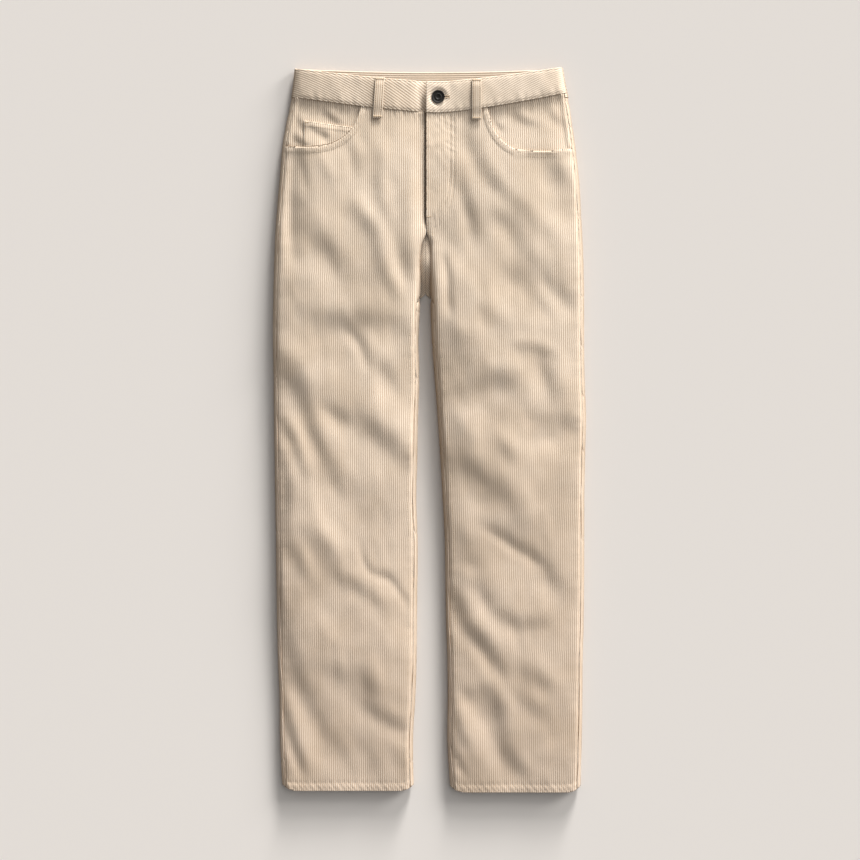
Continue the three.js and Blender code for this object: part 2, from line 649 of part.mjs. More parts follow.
export default trousers;
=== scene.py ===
"""Cream corduroy trousers laid out flat with the front upwards, seen from straight above.

The cloth pieces are dense walls on the solids' form. Their columns follow the grain, so that the
wales are real ridges that run along each leg. Threads, belt loops and the button lie on them.
Lengths in the classes are millimetres in the frame of the CAD model. Blender's are metres.
"""

import logging  # noqa: E402
import math  # noqa: E402
from collections.abc import Callable, Sequence  # noqa: E402
from dataclasses import dataclass, field  # noqa: E402
from enum import Enum  # noqa: E402

import bmesh  # noqa: E402
import bpy  # noqa: E402
import numpy as np  # noqa: E402
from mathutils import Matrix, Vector  # noqa: E402


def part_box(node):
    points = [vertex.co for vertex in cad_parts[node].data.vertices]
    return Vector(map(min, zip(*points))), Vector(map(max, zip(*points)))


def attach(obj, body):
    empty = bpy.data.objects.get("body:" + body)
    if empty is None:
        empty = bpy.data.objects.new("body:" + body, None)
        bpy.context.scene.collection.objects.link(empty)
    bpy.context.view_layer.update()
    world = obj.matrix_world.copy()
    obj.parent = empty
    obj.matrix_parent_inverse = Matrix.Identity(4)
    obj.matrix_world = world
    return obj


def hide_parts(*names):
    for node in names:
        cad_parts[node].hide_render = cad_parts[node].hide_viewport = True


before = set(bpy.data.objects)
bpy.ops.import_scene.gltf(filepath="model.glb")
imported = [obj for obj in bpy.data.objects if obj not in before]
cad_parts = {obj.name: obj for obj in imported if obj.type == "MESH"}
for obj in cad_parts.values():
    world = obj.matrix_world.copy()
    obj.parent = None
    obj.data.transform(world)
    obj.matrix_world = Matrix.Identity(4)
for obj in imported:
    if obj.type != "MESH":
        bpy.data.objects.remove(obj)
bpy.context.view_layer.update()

log = logging.getLogger("trousers")

MM = 0.001
WALE = 3.2
EDGE_SHARE = 0.009  # of a waistband's width, for the turn at its edges
SHIFT_Y = 0.452  # the model's origin is under the middle of its outline

Points = Sequence[tuple[float, float]]
Array = np.ndarray


def smooth(value: Array | float, low: float, high: float) -> Array:
    """Return the smooth step of value from 0 at low to 1 at high.

    Args:
        value: the number or numbers to judge.
        low: where the step starts.
        high: where it ends.

    Returns:
        Numbers from 0 to 1.
    """
    t = np.clip((np.asarray(value, dtype=float) - low) / (high - low), 0.0, 1.0)
    return t * t * (3.0 - 2.0 * t)


def mix(a: Array | float, b: Array | float, share: Array | float) -> Array | float:
    """Return the blend of a and b with this share of b."""
    return a + (b - a) * share


def bell(distance: Array, width: float) -> Array:
    """Return a rounded rise of height 1 and this half width at a distance from its middle."""
    return np.exp(-((distance / width) ** 2))


def fade(distance: Array, reach: float) -> Array:
    """Return what is left at a distance of something that dies away over this reach."""
    return np.exp(-np.abs(distance) / reach)


@dataclass(frozen=True)
class Curve:
    """A smooth curve through rows of a level and its value, the highest level first."""

    rows: tuple[tuple[float, float], ...]

    def at(self, y: Array | float) -> Array:
        """Return the curve's value at each level y."""
        levels = np.array([row[0] for row in self.rows])[::-1]
        values = np.array([row[1] for row in self.rows])[::-1]
        y = np.asarray(y, dtype=float)
        slopes = np.empty_like(values)
        slopes[1:-1] = (values[2:] - values[:-2]) / (levels[2:] - levels[:-2])
        slopes[0] = (values[1] - values[0]) / (levels[1] - levels[0])
        slopes[-1] = (values[-1] - values[-2]) / (levels[-1] - levels[-2])
        k = np.clip(np.searchsorted(levels, y) - 1, 0, len(levels) - 2)
        run = levels[k + 1] - levels[k]
        t = np.clip((y - levels[k]) / run, 0.0, 1.0)
        return (
            (2 * t**3 - 3 * t**2 + 1) * values[k]
            + (t**3 - 2 * t**2 + t) * run * slopes[k]
            + (3 * t**2 - 2 * t**3) * values[k + 1]
            + (t**3 - t**2) * run * slopes[k + 1]
        )


class Half(Enum):
    """The wearer's right and left half. The value is the direction of its outseam along X."""

    RIGHT = -1
    LEFT = 1

    @property
    def out(self) -> int:
        """Direction of the outseam."""
        return self.value

    @property
    def word(self) -> str:
        """The half's name in the nodes' names."""
        return self.name.lower()


@dataclass(frozen=True)
class Outline:
    """Outline of the laid-out trousers from above, and the seams on it.

    Attributes:
        crotch_front: level at which the fronts begin to part, over the length opening.
        crotch_back: level at which the legs part. The backs part over the length fork_depth.
        lap_length: length over which a back comes to lap over its inseam.
        seam_inset: how far inside the outline the side seams lie, and band_inset the waistband's.
        hems: lowest level of the right and the left hem.
    """

    right_out: Curve = Curve((
        (545, -201), (520, -203.5), (495, -207), (435, -219), (375, -224.5), (315, -229.5),
        (285, -231.4), (255, -232.4), (225, -233.3), (200, -234), (135, -234.5), (75, -233.5),
        (15, -233), (-45, -232), (-105, -231), (-165, -230), (-285, -228.5), (-345, -227),
        (-405, -224.5), (-465, -224), (-545, -220),
    ))
    left_out: Curve = Curve((
        (545, 199), (520, 203), (495, 208), (435, 217), (375, 224), (315, 227.5), (285, 229.2),
        (255, 230.4), (225, 231.2), (200, 231.5), (135, 231.5), (75, 232.5), (15, 234.5),
        (-45, 233), (-105, 232), (-165, 232), (-285, 231), (-345, 229.5), (-405, 229),
        (-465, 228), (-545, 226),
    ))
    right_in: Curve = Curve((
        (545, 5), (315, 5), (285, -9.5), (255, -14), (225, -13), (200, -14), (135, -17), (75, -16),
        (15, -18), (-45, -19), (-105, -20.5), (-165, -18.5), (-285, -19.5), (-345, -20),
        (-405, -22), (-465, -25.5), (-545, -24),
    ))
    left_in: Curve = Curve((
        (545, -5), (315, -5), (285, 1), (255, 1), (225, 1), (200, 1.5), (135, 4), (75, 8.5), (15, 13),
        (-45, 17), (-105, 20.5), (-165, 23.5), (-285, 25.5), (-345, 27.5), (-405, 28),
        (-465, 27.5), (-545, 32),
    ))
    fly_edge: float = -5.0
    fly_end: float = 317.0
    crotch_front: float = 304.0
    opening: float = 28.0
    crotch_back: float = 204.0
    fork_depth: float = 8.0
    lap_length: float = 18.0
    seat_seam: float = -6.0
    seam_inset: float = 5.0
    band_inset: float = 1.2
    seam_gap: float = 0.25
    hems: tuple[float, float] = (-541.5, -544.0)
    hem_corner: float = 26.0
    hem_rise: float = 9.0

    def outer(self, half: Half, y: Array) -> Array:
        """Return x of the outer edge at each level y."""
        return (self.right_out if half is Half.RIGHT else self.left_out).at(y)

    def parting(self, y: Array) -> Array:
        """Return the share to which the fronts have parted at level y."""
        return smooth(-np.asarray(y), -self.crotch_front, -self.crotch_front + self.opening)

    def sinking(self, y: Array) -> Array:
        """Return the share to which their inner edges have sunk at level y."""
        return smooth(-np.asarray(y), -self.crotch_front, -self.crotch_back)

    def lapping(self, y: Array) -> Array:
        """Return the share to which a back laps over its inseam at level y."""
        return smooth(-np.asarray(y), -self.crotch_back, -self.crotch_back + self.lap_length)

    def leg_inner(self, half: Half, y: Array) -> Array:
        """Return x of the inner edge of a leg at each level y."""
        return (self.right_in if half is Half.RIGHT else self.left_in).at(y)

    def inner(self, half: Half, y: Array) -> Array:
        """Return x of the fly's edge above the crotch, and of the leg's inside below."""
        return mix(self.fly_edge, self.leg_inner(half, y), self.parting(y))

    def hem(self, half: Half, x: Array) -> Array:
        """Return the level of a leg's lower edge at each x, with its rounded corners."""
        low = self.hems[0] if half is Half.RIGHT else self.hems[1]
        edges = (float(self.outer(half, low)), float(self.leg_inner(half, low)))
        near = np.minimum(np.abs(x - edges[0]), np.abs(x - edges[1]))
        corner = np.clip(1.0 - near / self.hem_corner, 0.0, None)
        return low + self.hem_rise * corner**3


@dataclass(frozen=True)
class Waist:
    """Curved edges of the waistband from above."""

    dip_x: float = 11.0
    right_x: float = -203.0
    left_x: float = 201.0
    top: tuple[float, float, float] = (541.5, 521.0, 544.0)
    seam: tuple[float, float, float] = (498.0, 474.0, 504.0)
    power: float = 1.35
    back_top: float = 537.5
    back_seam: float = 493.0
    back_rise: float = 5.0

    def line(self, edge: tuple[float, float, float], x: Array) -> Array:
        """Return the level of the front waistband's top edge or seam at each x.

        Args:
            edge: its levels at the right corner, the lowest point and the left corner.
            x: where to read it.

        Returns:
            The level at each x.
        """
        x = np.asarray(x, dtype=float)
        right, low, left = edge
        corner_x = np.where(x < self.dip_x, self.right_x, self.left_x)
        corner = np.where(x < self.dip_x, right, left)
        share = np.clip((x - self.dip_x) / (corner_x - self.dip_x), 0.0, 1.1)
        return low + (corner - low) * share**self.power

    def front_top(self, x: Array) -> Array:
        """Return the top edge of the front waistband."""
        return self.line(self.top, x)

    def front_seam(self, x: Array) -> Array:
        """Return the seam between the front waistband and the fronts."""
        return self.line(self.seam, x)

    def back_line(self, middle: float, x: Array) -> Array:
        """Return the back waistband's edge that has this level in the middle."""
        return middle + self.back_rise * (np.asarray(x) / self.left_x) ** 2


@dataclass(frozen=True)
class Crease:
    """A fold in the cloth: a crest on the left of its path and a trough on the right.

    Attributes:
        path: its steep side, from its upper end to its lower one.
        width: distance from the path to the crest and to the trough.
        crest: how high the crest stands.
        trough: how deep the trough is.
        wide: whether the cloth beyond them rises and falls back gently.
    """

    path: Points
    width: float
    crest: float
    trough: float
    wide: bool = False

    def add_to(self, height: Array, field_: "Field") -> None:
        """Add the crease to a field's heights.

        Args:
            height: the heights that it is added to.
            field_: the field that they belong to.
        """
        reach = 2.6 if self.wide else 1.4
        for side, amount in ((1, self.crest), (-1, -self.trough)):
            if amount:
                self.heap(height, field_, side * self.width, self.width, 0.7 * amount)
                beyond = side * (0.6 + reach) * self.width
                self.heap(height, field_, beyond, reach * self.width, 0.55 * amount)

    def heap(self, height: Array, field_: "Field", offset: float, size: float, amount: float) -> None:
        """Add a soft rounded ridge beside the path, which fades at both ends.

        Args:
            height: the heights that it is added to.
            field_: the field that they belong to.
            offset: how far to the left of the path it runs.
            size: how wide it is.
            amount: how high it is.
        """
        line = np.array(bend(self.path, max(3.0, size / 2)))
        step = np.gradient(line, axis=0)
        run = np.linalg.norm(step, axis=1)
        side = np.stack((-step[:, 1], step[:, 0]), axis=1) / run[:, None]
        share = (np.arange(len(line)) + 0.5) / len(line)
        weight = amount * np.sqrt(4.0 * share * (1.0 - share)) * run / (size * math.sqrt(2 * math.pi))
        for (x, y), w in zip(line + offset * side, weight):
            cols = slice(*np.searchsorted(field_.xs, (x - 3.2 * size, x + 3.2 * size)))
            rows = slice(*np.searchsorted(field_.ys, (y - 3.2 * size, y + 3.2 * size)))
            across = np.exp(-0.5 * ((field_.xs[cols] - x) / size) ** 2)
            down = np.exp(-0.5 * ((field_.ys[rows] - y) / size) ** 2)
            height[rows, cols] += w * down[:, None] * across[None, :]


def bend(path: Points, step: float) -> list[tuple[float, float]]:
    """Return points close together along a smooth curve through a path's points.

    Args:
        path: the points to pass through.
        step: about how far apart the points are.

    Returns:
        The points of the curve.
    """
    pts = [np.array(p, dtype=float) for p in path]
    pts = [2 * pts[0] - pts[1], *pts, 2 * pts[-1] - pts[-2]]
    out: list[tuple[float, float]] = []
    for k in range(1, len(pts) - 2):
        a, b, c, d = pts[k - 1:k + 3]
        count = max(int(np.linalg.norm(c - b) / step), 1)
        for t in np.arange(count) / count:
            p = 0.5 * (
                2 * b + (c - a) * t + (2 * a - 5 * b + 4 * c - d) * t * t
                + (3 * b - a - 3 * c + d) * t**3
            )
            out.append((float(p[0]), float(p[1])))
    out.append((float(pts[-2][0]), float(pts[-2][1])))
    return out


@dataclass
class Field:
    """Heights over the whole outline on a fine even grid, read between its points."""

    xs: Array = field(default_factory=lambda: np.arange(-250.0, 250.5, 1.0))
    ys: Array = field(default_factory=lambda: np.arange(-560.0, 560.5, 1.0))
    height: Array = field(init=False)

    def __post_init__(self) -> None:
        """Start flat."""
        self.height = np.zeros((len(self.ys), len(self.xs)))

    def grid(self) -> tuple[Array, Array]:
        """Return x and y of each point of the grid."""
        gx, gy = np.meshgrid(self.xs, self.ys)
        return gx, gy

    def at(self, x: Array, y: Array) -> Array:
        """Return the height at each place.

        Args:
            x: places across.
            y: places along.

        Returns:
            The heights there.
        """
        fx = np.clip((np.asarray(x) - self.xs[0]) / (self.xs[1] - self.xs[0]), 0, len(self.xs) - 1.001)
        fy = np.clip((np.asarray(y) - self.ys[0]) / (self.ys[1] - self.ys[0]), 0, len(self.ys) - 1.001)
        i, j = fx.astype(int), fy.astype(int)
        u, v = fx - i, fy - j
        h = self.height
        low = h[j, i] * (1 - u) + h[j, i + 1] * u
        high = h[j + 1, i] * (1 - u) + h[j + 1, i + 1] * u
        return low * (1 - v) + high * v


def ripples(shape: tuple[int, int], along: float, across: float, seed: int) -> Array:
    """Return smooth random ripples of height about 1.

    Args:
        shape: rows and columns of the grid.
        along: their size along the rows' direction, in steps.
        across: their size across it.
        seed: which ripples.

    Returns:
        The grid of heights.
    """
    rng = np.random.default_rng(seed)
    spectrum = np.fft.rfft2(rng.standard_normal(shape))
    fy = np.fft.fftfreq(shape[0])[:, None]
    fx = np.fft.rfftfreq(shape[1])[None, :]
    spectrum *= np.exp(-2.0 * np.pi**2 * ((fy * along) ** 2 + (fx * across) ** 2))
    made = np.fft.irfft2(spectrum, s=shape)
    return made / made.std()


# Creases of the fronts. Their paths were drawn over the photo. A scratch program fitted their
# widths and heights to its shading, and these are its values, partly raised, in half steps.
RIGHT_CREASES = tuple(Crease(*row) for row in (
    (((-205, 352), (-197, 325), (-192, 300), (-196, 286)), 14, 0, 1.5, True),
    (((-179, 310), (-160, 282), (-142, 258), (-127, 228)), 14, 3.5, 3.5, True),
    (((-190, 415), (-183, 385), (-180, 358)), 5, 0, 1.5),
    (((-168, 415), (-161, 390), (-150, 370)), 7, 1.5, 0),
    (((-112, 420), (-109, 395), (-108, 368)), 7, 1, 1.5, True),
    (((-68, 425), (-76, 400), (-79, 375), (-77, 345), (-71, 318)), 7, 1.5, 0.5, True),
    ((
        (-122, 342), (-100, 314), (-84, 292), (-78, 262), (-70, 235), (-58, 212), (-44, 193),
    ), 10, 5, 0.5, True),
    (((-37, 290), (-33, 250), (-25, 213)), 10, 0.5, 3),
    (((-208, 215), (-205, 195), (-220, 172)), 3.5, 0.5, 0),
    ((
        (-188, 180), (-165, 166), (-130, 165), (-95, 168), (-60, 165), (-42, 158), (-33, 135),
        (-28, 108),
    ), 14, 2, 2.5, True),
    (((-127, 163), (-111, 146), (-96, 126), (-88, 94)), 7, 0.5, 3, True),
    (((-70, 102), (-52, 78), (-45, 58)), 10, 0, 2),
    (((-234, 122), (-222, 104), (-214, 92)), 10, 2.5, 0),
    ((
        (-232, 84), (-205, 75), (-190, 55), (-180, 20), (-168, -15), (-150, -50), (-134, -92),
    ), 10, 2, 2.5),
    (((-160, 46), (-140, 30), (-120, 4)), 10, 1.5, 2.5, True),
    (((-113, 36), (-95, 11), (-70, -8), (-46, -28), (-29, -56)), 14, 3.5, 2),
    (((-216, 12), (-201, -20), (-189, -64)), 7, 2, 2),
    (((-222, -30), (-215, -60), (-212, -100), (-213, -140), (-224, -165)), 7, 1, 3, True),
    (((-118, -84), (-95, -110), (-65, -122)), 14, 1, 0.5),
    (((-176, -138), (-165, -165), (-146, -190), (-134, -202)), 10, 2.5, 0),
    (((-152, -204), (-130, -222), (-110, -233), (-85, -250), (-55, -271)), 10, 2, 1.5, True),
    ((
        (-100, -158), (-98, -185), (-85, -210), (-60, -218), (-45, -235), (-27, -264),
    ), 5, 0, 2, True),
    (((-217, -172), (-200, -195), (-186, -225), (-177, -252)), 10, 1.5, 0, True),
    ((
        (-232, -228), (-222, -265), (-215, -300), (-205, -340), (-190, -380), (-167, -420),
        (-146, -460), (-122, -488), (-104, -504),
    ), 14, 0.5, 5, True),
    (((-180, -270), (-160, -310), (-122, -345)), 7, 0.5, 0),
    (((-165, -350), (-135, -362), (-110, -378), (-94, -402)), 14, 2, 1),
    (((-96, -348), (-83, -375), (-69, -402)), 14, 1, 1.5, True),
    (((-96, -409), (-75, -425), (-52, -437), (-31, -451)), 10, 2, 2.5, True),
    (((-221, -398), (-210, -440), (-198, -480), (-186, -521)), 7, 1.5, 2),
    (((-226, -468), (-216, -498), (-206, -521)), 5, 0.5, 1),
    (((-99, -463), (-82, -490), (-70, -517)), 14, 0, 2.5, True),
    (((-75, -322), (-60, -335), (-46, -350)), 14, 2.5, 0, True),
    (((-212, 245), (-216, 300), (-214, 370), (-208, 430)), 7, 0.5, 4.5),
    (((-52, 395), (-46, 360), (-40, 330)), 7, 0, 1.5),
    (((-18, 245), (-16, 330), (-14, 420)), 10, 4, 2.5, True),
    (((-150, 280), (-138, 262), (-128, 250)), 10, 0, 1, True),
    (((-214, -205), (-220, -235), (-226, -262)), 14, 1, 0),
    (((-196, -100), (-190, -140), (-182, -178)), 14, 2.5, 0.5),
    (((-46, -470), (-38, -500), (-34, -524)), 10, 1, 1, True),
    (((-236, 205), (-220, 212), (-202, 214)), 10, 1.5, 0),
    (((-40, 176), (-33, 160), (-30, 135), (-31, 112)), 14, 4, 0, True),
    (((-236, -10), (-228, -60), (-222, -110), (-218, -150)), 14, 1, 0),
    (((-226, -130), (-214, -160), (-200, -190), (-188, -220)), 10, 1.5, 1),
    (((-228, 60), (-222, 20), (-214, -20), (-206, -60)), 14, 0, 1, True),
    (((-86, 430), (-80, 400), (-76, 360), (-75, 330)), 14, 3, 0),
    (((-100, -350), (-92, -372), (-86, -398)), 10, 2.5, 1, True),
    (((-206, 120), (-196, 90), (-186, 60)), 10, 2, 0),
))
LEFT_CREASES = tuple(Crease(*row) for row in (
    ((
        (60, 470), (57, 450), (66, 430), (78, 400), (92, 376), (118, 352), (145, 328), (165, 302),
        (192, 272),
    ), 10, 1, 2.5),
    (((44, 392), (52, 365), (60, 344), (68, 320), (73, 292), (73, 266)), 10, 0, 5, True),
    (((98, 332), (122, 316), (138, 290), (143, 252)), 14, 5, 4, True),
    (((178, 408), (190, 386), (207, 362)), 14, 2.5, 4, True),
    (((108, 418), (124, 400), (146, 374)), 14, 0, 0.5),
    (((192, 340), (206, 334), (218, 322)), 14, 1, 3, True),
    (((36, 312), (36, 290), (34, 268)), 14, 0, 2.5),
    (((51, 278), (54, 266), (57, 252)), 14, 0, 3.5),
    (((27, 262), (33, 230), (33, 200), (37, 172)), 5, 0, 3),
    (((113, 244), (138, 224), (151, 207)), 10, 0, 1.5, True),
    (((164, 232), (184, 225), (199, 208), (217, 190), (226, 168)), 10, 0, 3, True),
    (((156, 218), (165, 192), (186, 168)), 7, 0.5, 0.5),
    (((68, 192), (98, 166), (112, 148)), 10, 2, 0, True),
    (((12, 172), (42, 136), (78, 113), (104, 96)), 14, 2.5, 0, True),
    (((48, 56), (74, 66), (110, 74), (138, 70), (147, 52)), 14, 5, 0, True),
    (((60, 92), (86, 86), (112, 78)), 14, 3, 1.5, True),
    (((118, 126), (154, 123), (184, 111), (194, 98)), 7, 2, 0, True),
    (((174, 102), (180, 80), (182, 52)), 10, 2.5, 3),
    (((198, 22), (212, 12), (228, -2)), 10, 0.5, 2, True),
    (((98, 42), (112, 28), (126, 12)), 14, 1, 0.5),
    (((146, 2), (166, -4), (206, -4)), 10, 0, 2.5),
    (((33, 22), (44, 0), (50, -38)), 14, 5.5, 0.5, True),
    (((26, -48), (58, -60), (85, -74), (110, -94), (138, -106)), 14, 3, 2, True),
    (((98, -12), (110, -26), (122, -42)), 10, 3.5, 0, True),
    (((78, -138), (100, -150), (130, -170), (155, -186), (178, -203)), 7, 0, 3, True),
    (((118, -108), (126, -124), (130, -144)), 14, 4.5, 0, True),
    (((28, -128), (46, -156), (62, -174)), 10, 1, 1),
    (((44, -182), (60, -190), (78, -197)), 10, 0, 3, True),
    (((34, -204), (44, -214), (54, -226)), 10, 0, 2.5, True),
    (((174, -188), (190, -218), (209, -252)), 14, 1, 2.5),
    (((68, -222), (90, -250), (106, -275), (140, -291), (178, -284)), 10, 0.5, 2.5),
    (((34, -232), (50, -265), (60, -295), (80, -315), (98, -340), (120, -370)), 10, 1, 4.5),
    (((48, -322), (60, -345), (71, -368)), 10, 1, 2.5, True),
    (((138, -352), (165, -375), (187, -387)), 10, 1, 1.5),
    (((133, -388), (150, -408), (167, -424)), 10, 1, 2.5, True),
    (((43, -386), (70, -400), (86, -430), (99, -458)), 10, 0.5, 2.5, True),
    (((86, -378), (98, -400), (108, -430), (109, -465), (121, -490), (143, -518)), 10, 1.5, 3.5),
    (((29, -388), (38, -430), (50, -460), (62, -478)), 7, 1, 0.5),
    (((29, -458), (45, -490), (59, -517)), 5, 0, 1),
    (((27, -492), (34, -508), (42, -524)), 14, 0.5, 0),
    (((207, -422), (200, -450), (195, -478)), 14, 0.5, 2.5, True),
    (((160, -478), (167, -490), (174, -504)), 10, 0, 2, True),
    (((86, 240), (80, 215), (84, 190)), 7, 0.5, 0),
    (((10, 60), (14, 20), (20, -30)), 3.5, 1.5, 0, True),
    (((90, -120), (76, -118), (60, -112)), 10, 0, 2, True),
    (((112, 245), (130, 236), (148, 216)), 14, 0, 1.5),
    (((34, -395), (38, -430), (48, -468)), 7, 1, 0),
    (((36, -480), (46, -500), (62, -520)), 5, 0, 1),
    (((150, 132), (168, 128), (186, 114)), 14, 0, 2),
    (((206, 30), (214, 14), (222, -4)), 14, 1, 1),
    (((150, 24), (176, 16), (200, 8)), 10, 0, 2, True),
    (((26, -230), (34, -270), (40, -310)), 14, 0, 1, True),
))
# Creases of the pockets' facings, judged
POCKET_CREASES = tuple(Crease(*row) for row in (
    (((-160, 480), (-146, 468), (-133, 459)), 4, 0.8, 0.8),
    (((-182, 460), (-166, 446), (-150, 440)), 4, 0.6, 0.6),
    (((-198, 470), (-192, 458), (-186, 448)), 4, 0.8, 0.4),
    (((-156, 448), (-153, 438), (-154, 426)), 4, 0.6, 0.6),
    (((-200, 440), (-192, 430), (-186, 424)), 4, 0.8, 0.8),
    (((122, 482), (134, 468), (148, 460), (166, 457)), 5, 0.6, 0.4),
    (((176, 487), (186, 468), (198, 455)), 5, 0.6, 0.4),
    (((204, 466), (208, 448), (206, 428)), 4, 0.6, 0.4),
    (((98, 462), (104, 454), (112, 450)), 3.5, 0.4, 0.4),
))


@dataclass
class Form:
    """Where each layer of the laid-out trousers lies.

    Attributes:
        outline: the outline from above.
        waist: the waistband's edges.
        edge_z: height of the outermost line of a leg.
        shoulder: distance over which the top rounds down to that line.
        edge_roll: distance over which its last part rolls over.
        roll: distance over which the underside rounds up to it.
        cloth: thickness of one layer.
        pile: height of a wale.
        crease_depth: share of the creases' stated height that the cloth has.
        under_loops: how far the back waistband lies above the floor, on its loops.
        fly_side: x of the far side of the layers behind the fly.
        fly_tilt: how much they lift the front towards the fly's edge, for each millimetre.
        top: height of the middle of the upper layer at each level.
        folds: heights of the fronts with their creases.
        pockets: heights of the creases in the pockets' facings.
        crinkles: small unevenness of cloth that is sewn in several layers.
        wide_ripple: height of the broad unevenness of the fronts.
        small_ripple: height of their fine unevenness.
        tucked: how far the right front lies lower beside the fly.
        tuck_from: x where it begins to.
        tuck_to: x where it lies lowest.
    """

    outline: Outline = field(default_factory=Outline)
    waist: Waist = field(default_factory=Waist)
    edge_z: float = 5.2
    shoulder: float = 75.0
    edge_roll: float = 12.0
    roll: float = 9.0
    cloth: float = 1.6
    pile: float = 0.45
    crease_depth: float = 0.8
    under_loops: float = 2.1
    fly_side: float = 31.0
    fly_tilt: float = 0.085
    top: Curve = Curve((
        (545, 19), (470, 19.5), (400, 23), (255, 24), (100, 22), (-100, 20.5), (-300, 19),
        (-480, 16), (-545, 13),
    ))
    folds: Field = field(default_factory=Field)
    pockets: Field = field(default_factory=Field)
    crinkles: Field = field(default_factory=Field)
    wide_ripple: float = 0.55
    small_ripple: float = 0.16
    tucked: float = 1.2
    tuck_from: float = -30.0
    tuck_to: float = -8.0

    def __post_init__(self) -> None:
        """Work out the heights of the folds once."""
        gx, gy = self.folds.grid()
        for crease in POCKET_CREASES:
            crease.add_to(self.pockets.height, self.pockets)
        self.crinkles.height = ripples(gx.shape, 2.6, 2.2, 5)
        creases = np.zeros(gx.shape)
        for crease in (*RIGHT_CREASES, *LEFT_CREASES):
            crease.add_to(creases, self.folds)
        creases *= self.crease_depth
        wide = self.wide_ripple * ripples(gx.shape, 34.0, 22.0, 3)
        creases += wide + self.small_ripple * ripples(gx.shape, 9.0, 6.0, 4)
        sunk = self.outline.sinking(gy)
        insides = [self.outline.leg_inner(half, gy) for half in Half]
        middle = np.where(sunk > 0, (insides[0] + insides[1]) / 2, self.outline.fly_edge)
        total = np.zeros(gx.shape)
        for half in Half:
            outside = np.abs(gx - self.outline.outer(half, gy))
            inside = np.abs(gx - self.outline.inner(half, gy))
            clear = smooth(np.minimum(outside, mix(10.0, inside, sunk)), 0.0, 10.0)
            rounded = self.rounding(outside) * mix(1.0, self.rounding(inside), sunk)
            rise = self.top.at(gy) - self.edge_z
            mine = gx < middle if half is Half.RIGHT else gx >= middle
            total = np.where(mine, self.edge_z + rise * rounded + creases * clear, total)
        self.folds.height = total

    def rounding(self, distance: Array) -> Array:
        """Return the rise of the top from the outline inwards, from 0 to 1."""
        total = 0.0
        for reach in (self.shoulder, self.edge_roll):
            q = 1.0 - np.clip(distance / reach, 0.0, 1.0)
            total = total + 0.5 * np.sqrt(1.0 - q * q)
        return total

    def front(self, half: Half, x: Array, y: Array) -> Array:
        """Return the height of the middle of the front's cloth."""
        above = smooth(y, self.outline.fly_end - 25, self.outline.fly_end + 5)
        if half is Half.LEFT:
            fly = above * self.placket(x)
        else:
            fly = -above * self.tuck(x)
        return self.folds.at(x, y) + fly

    def tuck(self, x: Array) -> Array:
        """Return how far the right front lies lower beside the fly."""
        return self.tucked * smooth(x, self.tuck_from, self.tuck_to)

    def placket(self, x: Array) -> Array:
        """Return how far the fly's layers lift the front beside the opening."""
        return self.fly_tilt * np.clip(self.fly_side - np.asarray(x, dtype=float), 0.0, None)

    def underside(self, y: Array) -> Array:
        """Return the height of the middle of a back's cloth where it lies on the floor."""
        return self.cloth / 2 + self.under_loops * smooth(y, 425.0, 462.0)

    def rolled(self, edge: float, out: int, y: float, floor: float, inset: float) -> Array:
        """Return the section of the underside from the seam over the outline to the floor.

        Args:
            edge: x of the outline.
            out: direction out of the garment.
            y: level of the section.
            floor: height of the cloth's middle on the floor.
            inset: how far inside the outline the seam is.

        Returns:
            Points (x, z), the seam first.
        """
        upper = edge - out * inset * np.linspace(1.0, 0.0, 10) ** 2
        lower = np.linspace(0.0, math.pi / 2, 14)[1:]
        heights = self.folds.at(upper, np.full_like(upper, y))
        heights[-1] = self.edge_z
        x = np.concatenate((upper, edge - out * self.roll * (1.0 - np.cos(lower))))
        z = np.concatenate((heights, self.edge_z - (self.edge_z - floor) * np.sin(lower)))
        return np.stack((x, z), axis=1)


